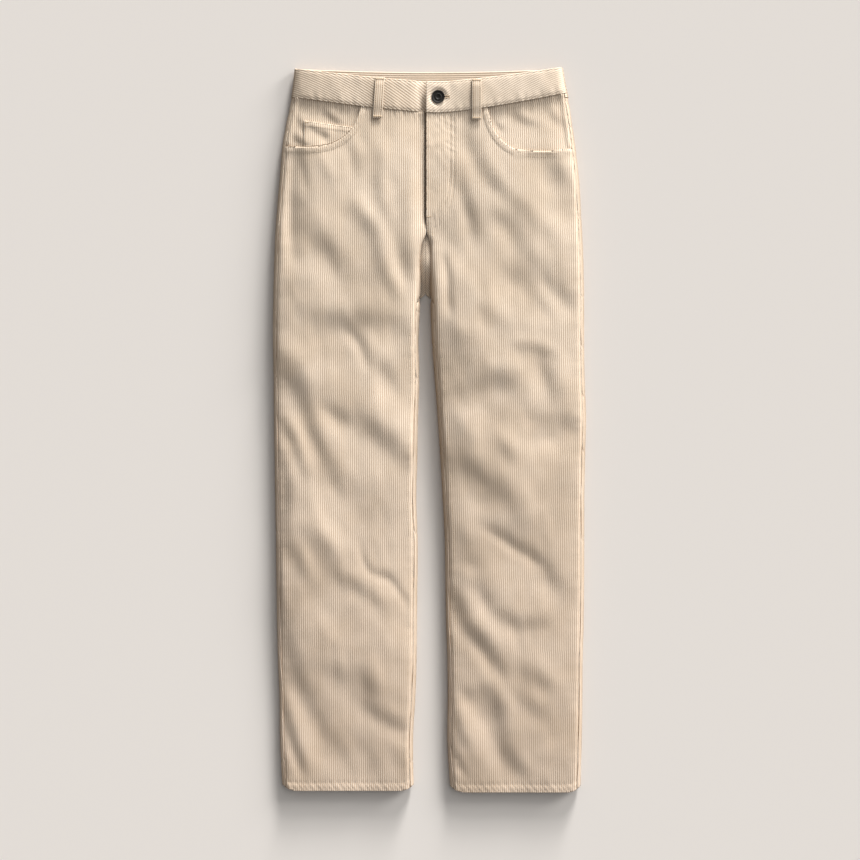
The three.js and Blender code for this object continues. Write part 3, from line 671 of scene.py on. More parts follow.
@dataclass
class Weave:
    """A grid of points on the middle of a piece of cloth, with the grain at each point.

    Attributes:
        points: the places, by row and column.
        grain: distance across the wales at each place.
        along: distance along the wales at each place.
        index: the point that stands at each place of the grid, once the piece is cut to shape.
    """

    points: Array
    grain: Array
    along: Array
    index: Array

    @classmethod
    def of_sections(
        cls,
        levels: Array,
        section: Callable[[float], tuple[Array, float]],
        step: float,
        low: Callable[[Array], Array],
        high: Callable[[Array], Array],
    ) -> "Weave":
        """Lay columns a constant distance apart across sections of the piece, and cut it out.

        Args:
            levels: the sections' levels, the lowest first.
            section: gives a section's points (x, z) and x of its grain line.
            step: distance between columns.
            low: level of the lower edge at each x.
            high: level of the upper edge at each x.

        Returns:
            The grid of the piece.
        """
        laid = []
        for y in levels:
            line, grain_x = section(float(y))
            run = np.concatenate(((0.0,), np.cumsum(np.linalg.norm(np.diff(line, axis=0), axis=1))))
            flat = np.argmin(np.abs(line[:, 0] - grain_x))
            laid.append((line, run - run[flat]))
        first = min(run[0] for _, run in laid)
        last = max(run[-1] for _, run in laid)
        columns = np.arange(math.floor(first / step) - 1, math.ceil(last / step) + 2) * step
        shape = (len(levels), len(columns))
        x, z, grain = np.empty(shape), np.empty(shape), np.empty(shape)
        left, right = np.empty(len(levels), int), np.empty(len(levels), int)
        for j, (line, run) in enumerate(laid):
            grain[j] = np.clip(columns, run[0], run[-1])
            x[j] = np.interp(grain[j], run, line[:, 0])
            z[j] = np.interp(grain[j], run, line[:, 1])
            left[j] = np.searchsorted(columns, run[0]) - 1
            right[j] = np.searchsorted(columns, run[-1])
        y = np.repeat(levels[:, None], len(columns), axis=1).astype(float)
        rows, cols = np.indices(shape)
        ends = []
        for edge, sign in ((low, -1), (high, 1)):
            over = sign * (y - edge(x)) >= 0
            steps = over if sign > 0 else over[::-1]
            hit = np.where(steps.any(axis=0), steps.argmax(axis=0), len(levels) - 1)
            end = hit if sign > 0 else len(levels) - 1 - hit
            before = np.clip(end - sign, 0, len(levels) - 1)
            c = np.arange(len(columns))
            a = sign * (y[before, c] - edge(x[before, c]))
            b = sign * (y[end, c] - edge(x[end, c]))
            share = np.where(b > a, np.clip(-a / np.where(b > a, b - a, 1.0), 0.0, 1.0), 1.0)
            for grid in (x, z, grain, y):
                grid[end, c] = mix(grid[before, c], grid[end, c], share)
            ends.append(end)
        bottom, top = ends
        j = np.clip(rows, bottom[cols], top[cols])
        i = np.clip(cols, left[j], right[j])
        j = np.clip(j, bottom[i], top[i])
        index = j * len(columns) + i
        return cls(np.stack((x, y, z), axis=2), grain, y.copy(), index)

    @classmethod
    def of_grid(cls, points: Array, grain: Array, along: Array) -> "Weave":
        """Return a whole grid that isn't cut.

        Args:
            points: the places, by row and column.
            grain: distance across the wales at each place.
            along: distance along them.

        Returns:
            The grid of the piece.
        """
        index = np.arange(points.shape[0] * points.shape[1]).reshape(points.shape[:2])
        return cls(points, grain, along, index)

    def normals(self) -> Array:
        """Return the cloth's normal at each place."""
        flat = self.points.reshape(-1, 3)
        here = flat[self.index]
        right = here[:, np.r_[1:here.shape[1], here.shape[1] - 1]]
        left = here[:, np.r_[0, 0:here.shape[1] - 1]]
        up = here[np.r_[1:here.shape[0], here.shape[0] - 1]]
        down = here[np.r_[0, 0:here.shape[0] - 1]]
        normal = np.cross(right - left, up - down)
        size = np.linalg.norm(normal, axis=2, keepdims=True)
        normal = np.where(size > 1e-9, normal / np.maximum(size, 1e-9), (0.0, 0.0, 1.0))
        spread = np.tile(np.array((0.0, 0.0, 1.0)), (flat.shape[0], 1))
        spread[self.index.ravel()] = normal.reshape(-1, 3)
        return spread.reshape(self.points.shape)


def wale_height(grain: Array, pile: float) -> Array:
    """Return how far the pile stands over its gutters at a distance across the wales.

    Args:
        grain: distance across the wales.
        pile: height of a wale.

    Returns:
        Heights from 0 in a gutter to pile on a wale.
    """
    return pile * np.abs(np.sin(np.pi * grain / WALE)) ** 0.55


def wall_mesh(
    name: str,
    weave: Weave,
    outward: Array,
    inward: Array,
    face: int = 1,
) -> bpy.types.Object:
    """Make a closed wall of cloth on a grid.

    Args:
        name: the piece's name.
        weave: the grid of its middle.
        outward: distance from the middle to the face at each place.
        inward: distance from the middle to the back at each place.
        face: 1 if the face is on the side of the grid's normals, -1 if it is on the other.

    Returns:
        The piece.
    """
    normal = weave.normals() * face
    outer = (weave.points + normal * outward[..., None]).reshape(-1, 3)
    inner = (weave.points - normal * inward[..., None]).reshape(-1, 3)
    count = len(outer)
    ids = weave.index
    a, b = ids[:-1, :-1].ravel(), ids[:-1, 1:].ravel()
    d, c = ids[1:, :-1].ravel(), ids[1:, 1:].ravel()
    faces = np.concatenate((np.stack((a, b, c), 1), np.stack((a, c, d), 1)))
    whole = (faces[:, 0] != faces[:, 1]) & (faces[:, 1] != faces[:, 2]) & (faces[:, 2] != faces[:, 0])
    faces = faces[whole]
    if face < 0:
        faces = faces[:, ::-1]
    edges = np.concatenate((faces[:, (0, 1)], faces[:, (1, 2)], faces[:, (2, 0)]))
    keys = edges.min(axis=1) * count + edges.max(axis=1)
    _, first, times = np.unique(keys, return_index=True, return_counts=True)
    rim = edges[first[times == 1]]
    p, q = rim[:, 0], rim[:, 1]
    sides = np.concatenate((np.stack((q, p, p + count), 1), np.stack((q, p + count, q + count), 1)))
    faces = np.concatenate((faces, faces[:, ::-1] + count, sides))
    grain = np.tile(weave.grain.ravel(), 2)
    along = np.tile(weave.along.ravel(), 2)
    return mesh_object(name, np.concatenate((outer, inner)), faces, np.stack((grain, along), 1))


def cloth_wall(
    name: str, weave: Weave, pile: float, thick: float, wales: Array | None = None
) -> bpy.types.Object:
    """Make a wall of even cloth with wales on its face.

    Args:
        name: the piece's name.
        weave: the grid of its middle.
        pile: height of a whole wale. Half of it stands out of the cloth's thickness.
        thick: the cloth's thickness.
        wales: height of the wales at each place, where it isn't the same all over.

    Returns:
        The piece.
    """
    wales = wale_height(weave.grain, pile) if wales is None else wales
    half_thick = np.full(wales.shape, thick / 2)
    return wall_mesh(name, weave, half_thick - pile / 2 + wales, half_thick)


def mesh_object(name: str, points: Array, faces: Array, uv: Array | None = None) -> bpy.types.Object:
    """Make an object of triangles, with only the points that they use.

    Args:
        name: the object's name.
        points: places in millimetres.
        faces: three points for each triangle.
        uv: the cloth's grain coordinates of each point, in millimetres.

    Returns:
        The object, linked to the scene.
    """
    used, faces = np.unique(faces, return_inverse=True)
    faces = faces.reshape(-1, 3)
    mesh = bpy.data.meshes.new(name)
    mesh.vertices.add(len(used))
    mesh.vertices.foreach_set("co", ((points[used] + (0.0, SHIFT_Y, 0.0)) * MM).astype("f4").ravel())
    mesh.loops.add(faces.size)
    mesh.loops.foreach_set("vertex_index", faces.astype("i4").ravel())
    mesh.polygons.add(len(faces))
    mesh.polygons.foreach_set("loop_start", np.arange(0, faces.size, 3, dtype="i4"))
    mesh.polygons.foreach_set("use_smooth", np.ones(len(faces), dtype=bool))
    if uv is not None:
        layer = mesh.uv_layers.new(name="grain")
        layer.data.foreach_set("uv", (uv[used][faces.ravel()] * MM).astype("f4").ravel())
    mesh.update(calc_edges=True)
    mesh.validate()
    made = bpy.data.objects.new(name, mesh)
    bpy.context.scene.collection.objects.link(made)
    return made


def pucker(run: Array, length: float, seed: float = 0.0) -> Array:
    """Return the uneven waves of a gathered seam, from -1 to 1.

    Args:
        run: distance along the seam.
        length: about how long a wave is.
        seed: shifts the waves, so that seams differ.

    Returns:
        The waves' height at each place.
    """
    t = 2.0 * np.pi * np.asarray(run) / length
    return 0.6 * np.sin(t + 1.4 * np.sin(t / 3.7 + seed)) + 0.4 * np.sin(1.63 * t + 2.0 * seed)


def distance_to(path: Points, x: Array, y: Array) -> Array:
    """Return each place's distance from a path of straight pieces."""
    x, y = np.asarray(x, dtype=float), np.asarray(y, dtype=float)
    best = np.full(np.broadcast(x, y).shape, np.inf)
    for (ax, ay), (bx, by) in zip(path[:-1], path[1:]):
        dx, dy = bx - ax, by - ay
        t = np.clip(((x - ax) * dx + (y - ay) * dy) / max(dx * dx + dy * dy, 1e-9), 0.0, 1.0)
        best = np.minimum(best, np.hypot(x - ax - t * dx, y - ay - t * dy))
    return best


def beside(path: Points, offset: float) -> list[tuple[float, float]]:
    """Return a path moved to its left by offset."""
    line = np.array(path, dtype=float)
    step = np.gradient(line, axis=0)
    step /= np.linalg.norm(step, axis=1, keepdims=True)
    moved = line + offset * np.stack((-step[:, 1], step[:, 0]), axis=1)
    return [(float(px), float(py)) for px, py in moved]


@dataclass
class Recipe:
    """A new material, whose nodes are added and joined one by one.

    Attributes:
        name: the material's name.
        made: the material.
    """

    name: str
    made: bpy.types.Material = field(init=False)

    def __post_init__(self) -> None:
        """Start from a plain shader."""
        self.made = bpy.data.materials.new(self.name)
        self.made.use_nodes = True

    @property
    def shader(self) -> bpy.types.ShaderNode:
        """The node that the material's surface comes from."""
        return self.made.node_tree.nodes["Principled BSDF"]

    def set(self, values: dict[str, float | tuple[float, ...]]) -> None:
        """Give these inputs of the shader a constant value."""
        for socket, value in values.items():
            self.shader.inputs[socket].default_value = value

    def add(self, kind: str) -> bpy.types.ShaderNode:
        """Return a new node of this kind."""
        return self.made.node_tree.nodes.new(f"ShaderNode{kind}")

    def join(self, source: bpy.types.NodeSocket, target: bpy.types.NodeSocket) -> None:
        """Lead an output to an input."""
        self.made.node_tree.links.new(source, target)

    def place(self) -> bpy.types.NodeSocket:
        """Return the place on the object."""
        return self.add("TexCoord").outputs["Object"]

    def split(self, source: bpy.types.NodeSocket, axis: str) -> bpy.types.NodeSocket:
        """Return one axis of a vector."""
        node = self.add("SeparateXYZ")
        self.join(source, node.inputs["Vector"])
        return node.outputs[axis]

    def noise(
        self, scale: float, detail: float, source: bpy.types.NodeSocket
    ) -> bpy.types.NodeSocket:
        """Return the value of a noise of this scale, read at source."""
        node = self.add("TexNoise")
        node.inputs["Scale"].default_value = scale
        node.inputs["Detail"].default_value = detail
        self.join(source, node.inputs["Vector"])
        return node.outputs["Fac"]

    def blend(
        self, share: bpy.types.NodeSocket, a: object, b: object, kind: str = "MIX"
    ) -> bpy.types.NodeSocket:
        """Return the mix of two colours.

        Args:
            share: the share of the second one.
            a: the first, a colour or an output.
            b: the second.
            kind: how they are mixed.

        Returns:
            The mixed colour.
        """
        node = self.add("Mix")
        node.data_type = "RGBA"
        node.blend_type = kind
        self.join(share, node.inputs["Factor"])
        for socket, colour in ((node.inputs[6], a), (node.inputs[7], b)):
            if isinstance(colour, bpy.types.NodeSocket):
                self.join(colour, socket)
            else:
                socket.default_value = (*colour, 1.0)
        return node.outputs[2]

    def ramp(
        self,
        source: bpy.types.NodeSocket,
        low: tuple[float, Sequence[float]],
        high: tuple[float, Sequence[float]],
    ) -> bpy.types.NodeSocket:
        """Return the colour between two stops, each a value of source and its colour."""
        node = self.add("ValToRGB")
        for element, (position, colour) in zip(node.color_ramp.elements, (low, high)):
            element.position = position
            element.color = (*colour, 1.0)
        self.join(source, node.inputs["Fac"])
        return node.outputs["Color"]

    def ranged(
        self, source: bpy.types.NodeSocket, low: float, high: float, top: float = 1.0
    ) -> bpy.types.NodeSocket:
        """Return source, mapped smoothly from low and high to 0 and top."""
        node = self.add("MapRange")
        node.interpolation_type = "SMOOTHSTEP"
        node.inputs["From Min"].default_value = low
        node.inputs["From Max"].default_value = high
        node.inputs["To Max"].default_value = top
        self.join(source, node.inputs["Value"])
        return node.outputs["Result"]

    def maths(
        self, kind: str, source: bpy.types.NodeSocket, value: float
    ) -> bpy.types.NodeSocket:
        """Return the result of an operation on source and a value."""
        node = self.add("Math")
        node.operation = kind
        self.join(source, node.inputs[0])
        node.inputs[1].default_value = value
        return node.outputs["Value"]


@dataclass(frozen=True)
class Corduroy:
    """Cotton corduroy: soft pile, with darker shade painted into the gutters between the wales.

    Attributes:
        name: the material's name.
        pile: colour of the wales at the waist.
        hem: their colour at the hem: painted shade, darker and greyer than at the waist, for the light
            that falls off towards the hem.
        nap: share of light that is left where the pile lies the other way.
        gutter: painted shade: the darker colour painted into the gutters between the wales, for the shade
            that the wales cast there.
        depth: share of that painted shade in the gutters.
        side: painted shade: share of the colour that is left on steep sides, where the pile shades itself.
    """

    name: str = "cream_corduroy"
    pile: tuple[float, float, float] = (0.90, 0.775, 0.635)
    hem: tuple[float, float, float] = (0.74, 0.615, 0.50)
    nap: tuple[float, float, float] = (0.90, 0.885, 0.86)
    gutter: tuple[float, float, float] = (0.44, 0.29, 0.18)
    depth: float = 0.85
    side: tuple[float, float, float] = (0.36, 0.325, 0.285)

    def material(self) -> bpy.types.Material:
        """Return the cloth's material. It reads the piece's grain coordinates."""
        recipe = Recipe(self.name)
        recipe.set({
            "Roughness": 0.93,
            "Specular IOR Level": 0.15,
            "Sheen Weight": 0.25,
            "Sheen Roughness": 0.45,
            "Sheen Tint": (1.0, 0.93, 0.84, 1.0),
        })
        grain = recipe.add("UVMap")
        grain.uv_map = "grain"
        place = recipe.place()
        across = recipe.split(grain.outputs["UV"], "X")
        # Painted shade in the gutters: the colour is darkened by the grain's phase between the wales.
        phase = recipe.maths("FRACT", recipe.maths("DIVIDE", across, WALE * MM), 0.0)
        off = recipe.maths("SUBTRACT", phase, 0.5)
        off = recipe.maths("MULTIPLY", recipe.maths("ABSOLUTE", off, 0.0), 2.0)
        painted_gutter_shade = recipe.ranged(off, 0.40, 1.0, self.depth)
        tufts = recipe.add("Mapping")
        tufts.inputs["Scale"].default_value = (1.0, 0.22, 1.0)
        recipe.join(grain.outputs["UV"], tufts.inputs["Vector"])
        tuft = tufts.outputs["Vector"]
        clouds = recipe.ranged(recipe.noise(14.0, 3.0, place), 0.35, 0.68)
        streaks = recipe.ranged(recipe.noise(900.0, 2.0, tuft), 0.35, 0.65, 0.5)
        # Painted shade: the colour darkens where the cloth's normal tilts far from upright, on edges and
        # steep sides.
        turned = recipe.split(recipe.add("NewGeometry").outputs["Normal"], "Z")
        painted_side_shade = recipe.ranged(turned, 0.84, 0.30)
        # Painted shade: the colour goes from the pile's at the waist to the darker hem colour at the hem,
        # where less light falls.
        base = recipe.blend(
            recipe.ranged(recipe.split(place, "Y"), 0.55, -0.60), self.pile, self.hem
        )
        for share, left in ((clouds, self.nap), (streaks, self.nap), (painted_side_shade, self.side)):
            base = recipe.blend(share, base, left, "MULTIPLY")
        # Paint the gutters' shade over the colour.
        base = recipe.blend(painted_gutter_shade, base, self.gutter)
        recipe.join(base, recipe.shader.inputs["Base Color"])
        bump = recipe.add("Bump")
        bump.inputs["Strength"].default_value = 0.3
        bump.inputs["Distance"].default_value = 0.0003
        recipe.join(recipe.noise(1600.0, 2.0, tuft), bump.inputs["Height"])
        recipe.join(bump.outputs["Normal"], recipe.shader.inputs["Normal"])
        return recipe.made


@dataclass(frozen=True)
class Thread:
    """Cotton topstitching thread, a shade warmer than the cloth."""

    name: str = "cream_thread"
    colour: tuple[float, float, float] = (0.66, 0.51, 0.35)

    def material(self) -> bpy.types.Material:
        """Return the thread's material, with a twist of uneven tone."""
        recipe = Recipe(self.name)
        recipe.set({"Roughness": 0.7, "Specular IOR Level": 0.3})
        tone = recipe.noise(700.0, 2.0, recipe.place())
        shaded = [0.72 * c for c in self.colour]
        colour = recipe.ramp(tone, (0.3, shaded), (0.7, self.colour))
        recipe.join(colour, recipe.shader.inputs["Base Color"])
        return recipe.made


@dataclass(frozen=True)
class DarkMetal:
    """Black coated metal of the button, worn a little in random patches."""

    name: str = "black_button_metal"
    colour: tuple[float, float, float] = (0.012, 0.010, 0.009)
    worn: tuple[float, float, float] = (0.03, 0.026, 0.022)

    def material(self) -> bpy.types.Material:
        """Return the button's material."""
        recipe = Recipe(self.name)
        recipe.set({"Specular IOR Level": 0.28})
        wear = recipe.noise(900.0, 4.0, recipe.place())
        colour = recipe.ramp(wear, (0.4, self.colour), (0.75, self.worn))
        recipe.join(colour, recipe.shader.inputs["Base Color"])
        rough = recipe.add("MapRange")
        rough.inputs["To Min"].default_value = 0.45
        rough.inputs["To Max"].default_value = 0.6
        recipe.join(wear, rough.inputs["Value"])
        recipe.join(rough.outputs["Result"], recipe.shader.inputs["Roughness"])
        return recipe.made


@dataclass
class Wardrobe:
    """The materials, made once, and what every finished piece is told about itself."""

    cloth: bpy.types.Material = field(default_factory=lambda: Corduroy().material())
    # A paler copy of the cloth, with lighter painted gutter shade, for the wearer's left front waistband.
    paler_band: bpy.types.Material = field(
        default_factory=lambda: Corduroy(
            "paler_band_corduroy", pile=(0.93, 0.80, 0.66), gutter=(0.62, 0.47, 0.34)
        ).material()
    )
    thread: bpy.types.Material = field(default_factory=lambda: Thread().material())
    metal: bpy.types.Material = field(default_factory=lambda: DarkMetal().material())

    def finish(
        self,
        piece: bpy.types.Object,
        material: bpy.types.Material,
        nodes: Sequence[str] = (),
    ) -> bpy.types.Object:
        """Args:
            piece: the finished piece.
            material: what it is made of.
            nodes: the solids that it stands for.

        Returns:
            The piece.
        """
        piece.data.materials.append(material)
        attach(piece, "root")
        if nodes:
            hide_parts(*nodes)
        log.info("%s: %d faces", piece.name, len(piece.data.polygons))
        return piece


@dataclass
class Stitching:
    """Rows of short thread stitches that lie on the cloth.

    Attributes:
        pitch: distance from one stitch to the next.
        length: length of a stitch.
        radius: radius of the thread.
        sides: how many sides a thread has.
        rings: share of its length, share of its radius and rise of each of its rings.
        rows: the two ends of every stitch, row by row.
    """

    pitch: float = 3.3
    length: float = 2.7
    radius: float = 0.3
    sides: int = 5
    rings: tuple[tuple[float, float, float], ...] = (
        (0.0, 0.55, -0.37), (0.28, 1.0, 0.0), (0.72, 1.0, 0.0), (1.0, 0.55, -0.37),
    )
    rows: list[Array] = field(default_factory=list)

    def along(self, path: Points, surface: Callable[[Array, Array], Array]) -> None:
        """Sew a row along a path.

        Args:
            path: the row from above.
            surface: gives the height of the cloth's face at places x, y.
        """
        line = np.array(path, dtype=float)
        run = np.concatenate(((0.0,), np.cumsum(np.linalg.norm(np.diff(line, axis=0), axis=1))))
        starts = np.arange(0.4, run[-1] - self.length, self.pitch)
        ends = []
        for at in (starts, starts + self.length):
            x, y = np.interp(at, run, line[:, 0]), np.interp(at, run, line[:, 1])
            ends.append(np.stack((x, y, surface(x, y)), axis=1))
        if len(starts):
            self.rows.append(np.stack(ends, axis=1))

    def tack(
        self,
        start: tuple[float, float],
        end: tuple[float, float],
        width: float,
        surface: Callable[[Array, Array], Array],
    ) -> None:
        """Sew a bar-tack: close stitches across a short line.

        Args:
            start: one end of the line.
            end: its other end.
            width: length of the stitches across it.
            surface: gives the height of the cloth's face at places x, y.
        """
        a, b = np.array(start, dtype=float), np.array(end, dtype=float)
        size = np.linalg.norm(b - a)
        across = np.array((-(b - a)[1], (b - a)[0])) / size * width / 2
        share = np.linspace(0.0, 1.0, max(int(size / 0.62), 3))[:, None]
        lean = (b - a) / size * 0.3
        ends = []
        for side, drift in ((-1, -1), (1, 1)):
            p = a + (b - a) * share + side * across + drift * lean
            z = surface(p[:, 0], p[:, 1]) + 0.25
            ends.append(np.column_stack((p, z)))
        self.rows.append(np.stack(ends, axis=1))

    def mesh(self, name: str) -> bpy.types.Object:
        """Make every row's stitches as one mesh of small bowed threads.

        Args:
            name: the object's name.

        Returns:
            The object.
        """
        sides, rings = self.sides, self.rings
        both = np.concatenate(self.rows)
        a, b = both[:, 0], both[:, 1]
        ahead = b - a
        ahead /= np.linalg.norm(ahead, axis=1, keepdims=True)
        up = np.array((0.0, 0.0, 1.0)) - ahead * ahead[:, 2:3]
        up /= np.linalg.norm(up, axis=1, keepdims=True)
        across = np.cross(up, ahead)
        angle = 2 * np.pi * np.arange(sides) / sides
        points = []
        for share, wide, lift in rings:
            middle = a + (b - a) * share + up * lift
            size = self.radius * wide
            for t in angle:
                points.append(middle + across * (np.cos(t) * size) + up * (np.sin(t) * size))
        points = np.stack(points, axis=1)
        faces = []
        for k in range(len(rings) - 1):
            for s in range(sides):
                p, q = k * sides + s, k * sides + (s + 1) % sides
                faces += [(p, p + sides, q), (q, p + sides, q + sides)]
        last = (len(rings) - 1) * sides
        for s in range(1, sides - 1):
            faces += [(0, s, s + 1), (last, last + s + 1, last + s)]
        per = len(rings) * sides
        every = (np.arange(len(points))[:, None, None] * per + np.array(faces)[None]).reshape(-1, 3)
        return mesh_object(name, points.reshape(-1, 3), every)


def edged_shares(count: int) -> Array:
    """Return this many shares from 0 to 1, even but for a thin one at each end."""
    return np.concatenate(((0.0, EDGE_SHARE), np.linspace(0.03, 0.97, count - 4), (1.0 - EDGE_SHARE, 1.0)))


def edge_rounding(distance: Array, radius: float, least: float) -> Array:
    """Return the share of its thickness that a folded strip has near its edges.

    Args:
        distance: distance from the nearest edge.
        radius: distance over which the edge is rounded.
        least: the square of the share that is left at the edge.

    Returns:
        The share at each place.
    """
    return np.sqrt(np.clip(1.0 - (1.0 - np.clip(distance / radius, 0.0, 1.0)) ** 2, least, 1.0))


def row_levels(*zones: tuple[float, float, float]) -> Array:
    """Return levels spaced by zones.

    Args:
        zones: each zone's lower end, upper end and spacing, the lowest first.

    Returns:
        The levels.
    """
    out = [np.linspace(a, b, max(int(round((b - a) / step)), 1), endpoint=False) for a, b, step in zones]
    return np.concatenate((*out, (zones[-1][1],)))


@dataclass(frozen=True)
class Mouth:
    """What draws the edge of a pocket mouth, as two curves that meet at its corner.

    Attributes:
        side: its level at the outseam.
        low: level towards which it sinks.
        corner: x of its corner.
        rise: x towards which it is drawn as it rises.
        waist: x of its end at the waist.
    """

    side: float
    low: float
    corner: float
    rise: float
    waist: float


MOUTHS = {
    Half.RIGHT: Mouth(side=425, low=421, corner=-150, rise=-108, waist=-102),
    Half.LEFT: Mouth(side=421, low=414, corner=128, rise=92, waist=86),
}


@dataclass
class Front:
    """Front of one leg, from the waist seam to the hem, with its pocket mouth.

    Attributes:
        half: which leg.
        form: the garment's form.
        dip: how deep the cloth is drawn in at a seam.
        hem: height of the hem.
        mouth_band: width of the turned edge of the pocket mouth.
        fly_gap: width of the slit beside the fly's edge.
        tuck: how far the panel reaches under the waistband.
        flat: width and length of its cut in metres; not used.
        area: area of its cut in square metres; not used.
        grain_x: x of its grain line, where its wales run straight.
        grain_lean: how far the left front's grain line leans out towards the hem.
        fine: spacing of the rows near the hem and the waist.
        coarse: spacing of the rows along the leg.
        fine_from: level above which the rows are fine again.
        rows_end: level of the highest row.
    """

    half: Half
    form: Form
    dip: float = 1.1
    hem: float = 10.5
    mouth_band: float = 8.5
    fly_gap: float = 2.7
    tuck: float = 5.0
    flat: tuple[float, float] = (0.228, 1.03)
    area: float = 0.217
    grain_x: tuple[float, float] = (-125.0, 116.0)
    grain_lean: float = 12.0
    fine: float = 2.2
    coarse: float = 5.7
    fine_from: float = 413.0
    rows_end: float = 512.0

    def mouth(self) -> list[tuple[float, float]]:
        """Return the pocket mouth's edge, from the outseam to the waist."""
        shape, out = MOUTHS[self.half], self.half.out

        def arc(a: tuple, b: tuple, c: tuple) -> list[tuple[float, float]]:
            """Return points on a quadratic curve from a to c, drawn towards b."""
            t = np.linspace(0.0, 1.0, 14)
            return [
                tuple((1 - s) ** 2 * np.array(a) + 2 * s * (1 - s) * np.array(b) + s * s * np.array(c))
                for s in t
            ]

        corner = (shape.corner, shape.low + 6)
        first = arc((200 * out, shape.side - 1), (175 * out, shape.low), corner)
        second = arc(corner, (shape.rise, shape.low + 20), (shape.waist, 490))
        return [(245 * out, shape.side), *first, *second[1:]]

    def upper_edge(self, x: Array) -> Array:
        """Return the level of the panel's upper edge: the pocket mouth or the waist seam."""
        mouth = np.array(self.mouth())
        mouth = mouth[np.argsort(mouth[:, 0])]
        seam = self.form.waist.front_seam(x) + self.tuck
        end = mouth[0 if self.half is Half.LEFT else -1, 0]
        inside = np.asarray(x) * self.half.out < end * self.half.out
        return np.where(inside, seam, np.minimum(seam, np.interp(x, mouth[:, 0], mouth[:, 1])))

    def edges(self, y: Array) -> tuple[Array, Array]:
        """Return x of the outseam and of the inner edge at each level."""
        line, out = self.form.outline, self.half.out
        slit = self.fly_gap * smooth(y, line.fly_end - 12, line.fly_end + 4)
        open_ = slit if self.half is Half.RIGHT else 0.0
        inner = line.inner(self.half, y) + out * (
            line.seam_gap / 2 + open_ + line.seam_inset * line.lapping(y)
        )
        outer = line.outer(self.half, y) - out * (line.seam_inset + line.seam_gap / 2)
        return outer, inner

    def fly_rows(self) -> list[list[tuple[float, float]]]:
        """Return the two rows of stitching that hold the fly's facing."""
        outer = bend(((37, 473), (37, 420), (36.5, 375), (33, 345), (24, 322), (10, 306), (-1, 299)), 3.0)
        inner = bend(((31, 473), (31, 420), (30.5, 378), (27, 352), (19, 331), (8, 317), (-2, 311)), 3.0)
        return [outer, inner]

    def height(self, x: Array, y: Array) -> Array:
        """Return the height of the cloth's middle, with its seams, puckers and hem."""
        x, y = np.asarray(x, dtype=float), np.asarray(y, dtype=float)
        z = self.form.front(self.half, x, y)
        for worked in (self.side_seams, self.waist_seam, self.hemmed, self.mouth_edge, self.fly):
            z = worked(z, x, y)
        return z

    def sewn_edge(self, y: Array) -> Array:
        """Return 1 where the inner edge is a seam, and 0 where it is the fly's edge."""
        end = self.form.outline.fly_end
        return 1.0 - smooth(y, end - 4, end)

    def side_seams(self, z: Array, x: Array, y: Array) -> Array:
        """Return heights z at places x, y with the cloth drawn in at the seams of the leg."""
        line = self.form.outline
        outer, inner = self.edges(y)
        far_out, far_in = np.abs(x - outer), np.abs(x - inner)
        z = z - self.dip * bell(far_out, 2.0)
        z = z + 0.5 * pucker(y, 17.0, 1.0) * fade(far_out, 9.0) * smooth(far_out, 0.0, 4.0)
        seamed = self.sewn_edge(y)
        z = z - self.dip * seamed * bell(far_in, 2.0)
        z = z + 0.45 * seamed * pucker(y, 14.0, 2.0) * fade(far_in, 8.0) * smooth(far_in, 0.0, 4.0)
        fork = line.parting(y) * (1.0 - line.lapping(y))
        return z - 1.0 * fork * bell(far_in, 2.2)

    def waist_seam(self, z: Array, x: Array, y: Array) -> Array:
        """Return heights z at places x, y with the gathers at the waist and the tuck under it."""
        drop = self.form.waist.front_seam(x) - y
        z = z + 0.5 * fade(drop, 7.0) - 2.6 * (1.0 - smooth(drop, -2.2, -0.4))
        z = z + 0.35 * pucker(x + 0.4 * y, 6.6, 3.0) * fade(drop, 2.6)
        return z + 0.35 * pucker(x, 12.0, 3.0) * bell(drop - 7.0, 6.0)

    def hemmed(self, z: Array, x: Array, y: Array) -> Array:
        """Return heights z at places x, y with the hem's second layer, its row and its waves."""
        rise = y - self.form.outline.hem(self.half, x)
        z = z + 0.3 * (1.0 - smooth(rise, self.hem - 1.0, self.hem + 1.5))
        z = z - 0.35 * bell(rise - self.hem, 1.4)
        waves = pucker(x + 0.9 * rise, 9.0, 4.0 + self.half.out)
        return z + 0.28 * waves * bell(rise - 6.0, 8.0)

    def mouth_edge(self, z: Array, x: Array, y: Array) -> Array:
        """Return heights z at places x, y with the pocket mouth's turned edge and its two rows."""
        drop = self.form.waist.front_seam(x) - y
        mouth = distance_to(self.mouth(), x, y)
        turned = 1.0 - smooth(mouth, self.mouth_band, self.mouth_band + 2.0)
        z = z + 0.75 * turned * smooth(drop, 1.0, 12.0)
        z = z + 0.2 * bell(mouth - 2.6, 1.6) - 0.25 * bell(mouth, 1.2)
        z = z + 0.15 * pucker(x + y, 11.0, 5.0) * fade(mouth, 7.0)
        z = z - 0.3 * bell(mouth - 3.8, 0.9)
        return z - 0.6 * bell(mouth - self.mouth_band, 1.2)

    def fly(self, z: Array, x: Array, y: Array) -> Array:
        """Return heights z at places x, y with the stitched and crinkled fly of the left front."""
        if self.half is Half.RIGHT:
            return z
        line = self.form.outline
        for row in self.fly_rows():
            away = distance_to(row, x, y)
            z = z - 0.5 * bell(away, 1.2)
        z = z + 0.2 * pucker(y + 0.5 * x, 12.0, 6.0) * bell(away - 2.0, 7.0)
        z = z - 0.5 * (1.0 - self.sewn_edge(y)) * bell(np.abs(x - self.edges(y)[1]), 1.2)
        sewn = smooth(y, line.fly_end - 16, line.fly_end + 6) * (1.0 - smooth(x, 34.0, 40.0))
        return z + 0.10 * sewn * self.form.crinkles.at(x, y)

    def face(self, x: Array, y: Array) -> Array:
        """Return the height of the cloth's face, where threads lie."""
        return self.height(x, y) + self.form.cloth / 2

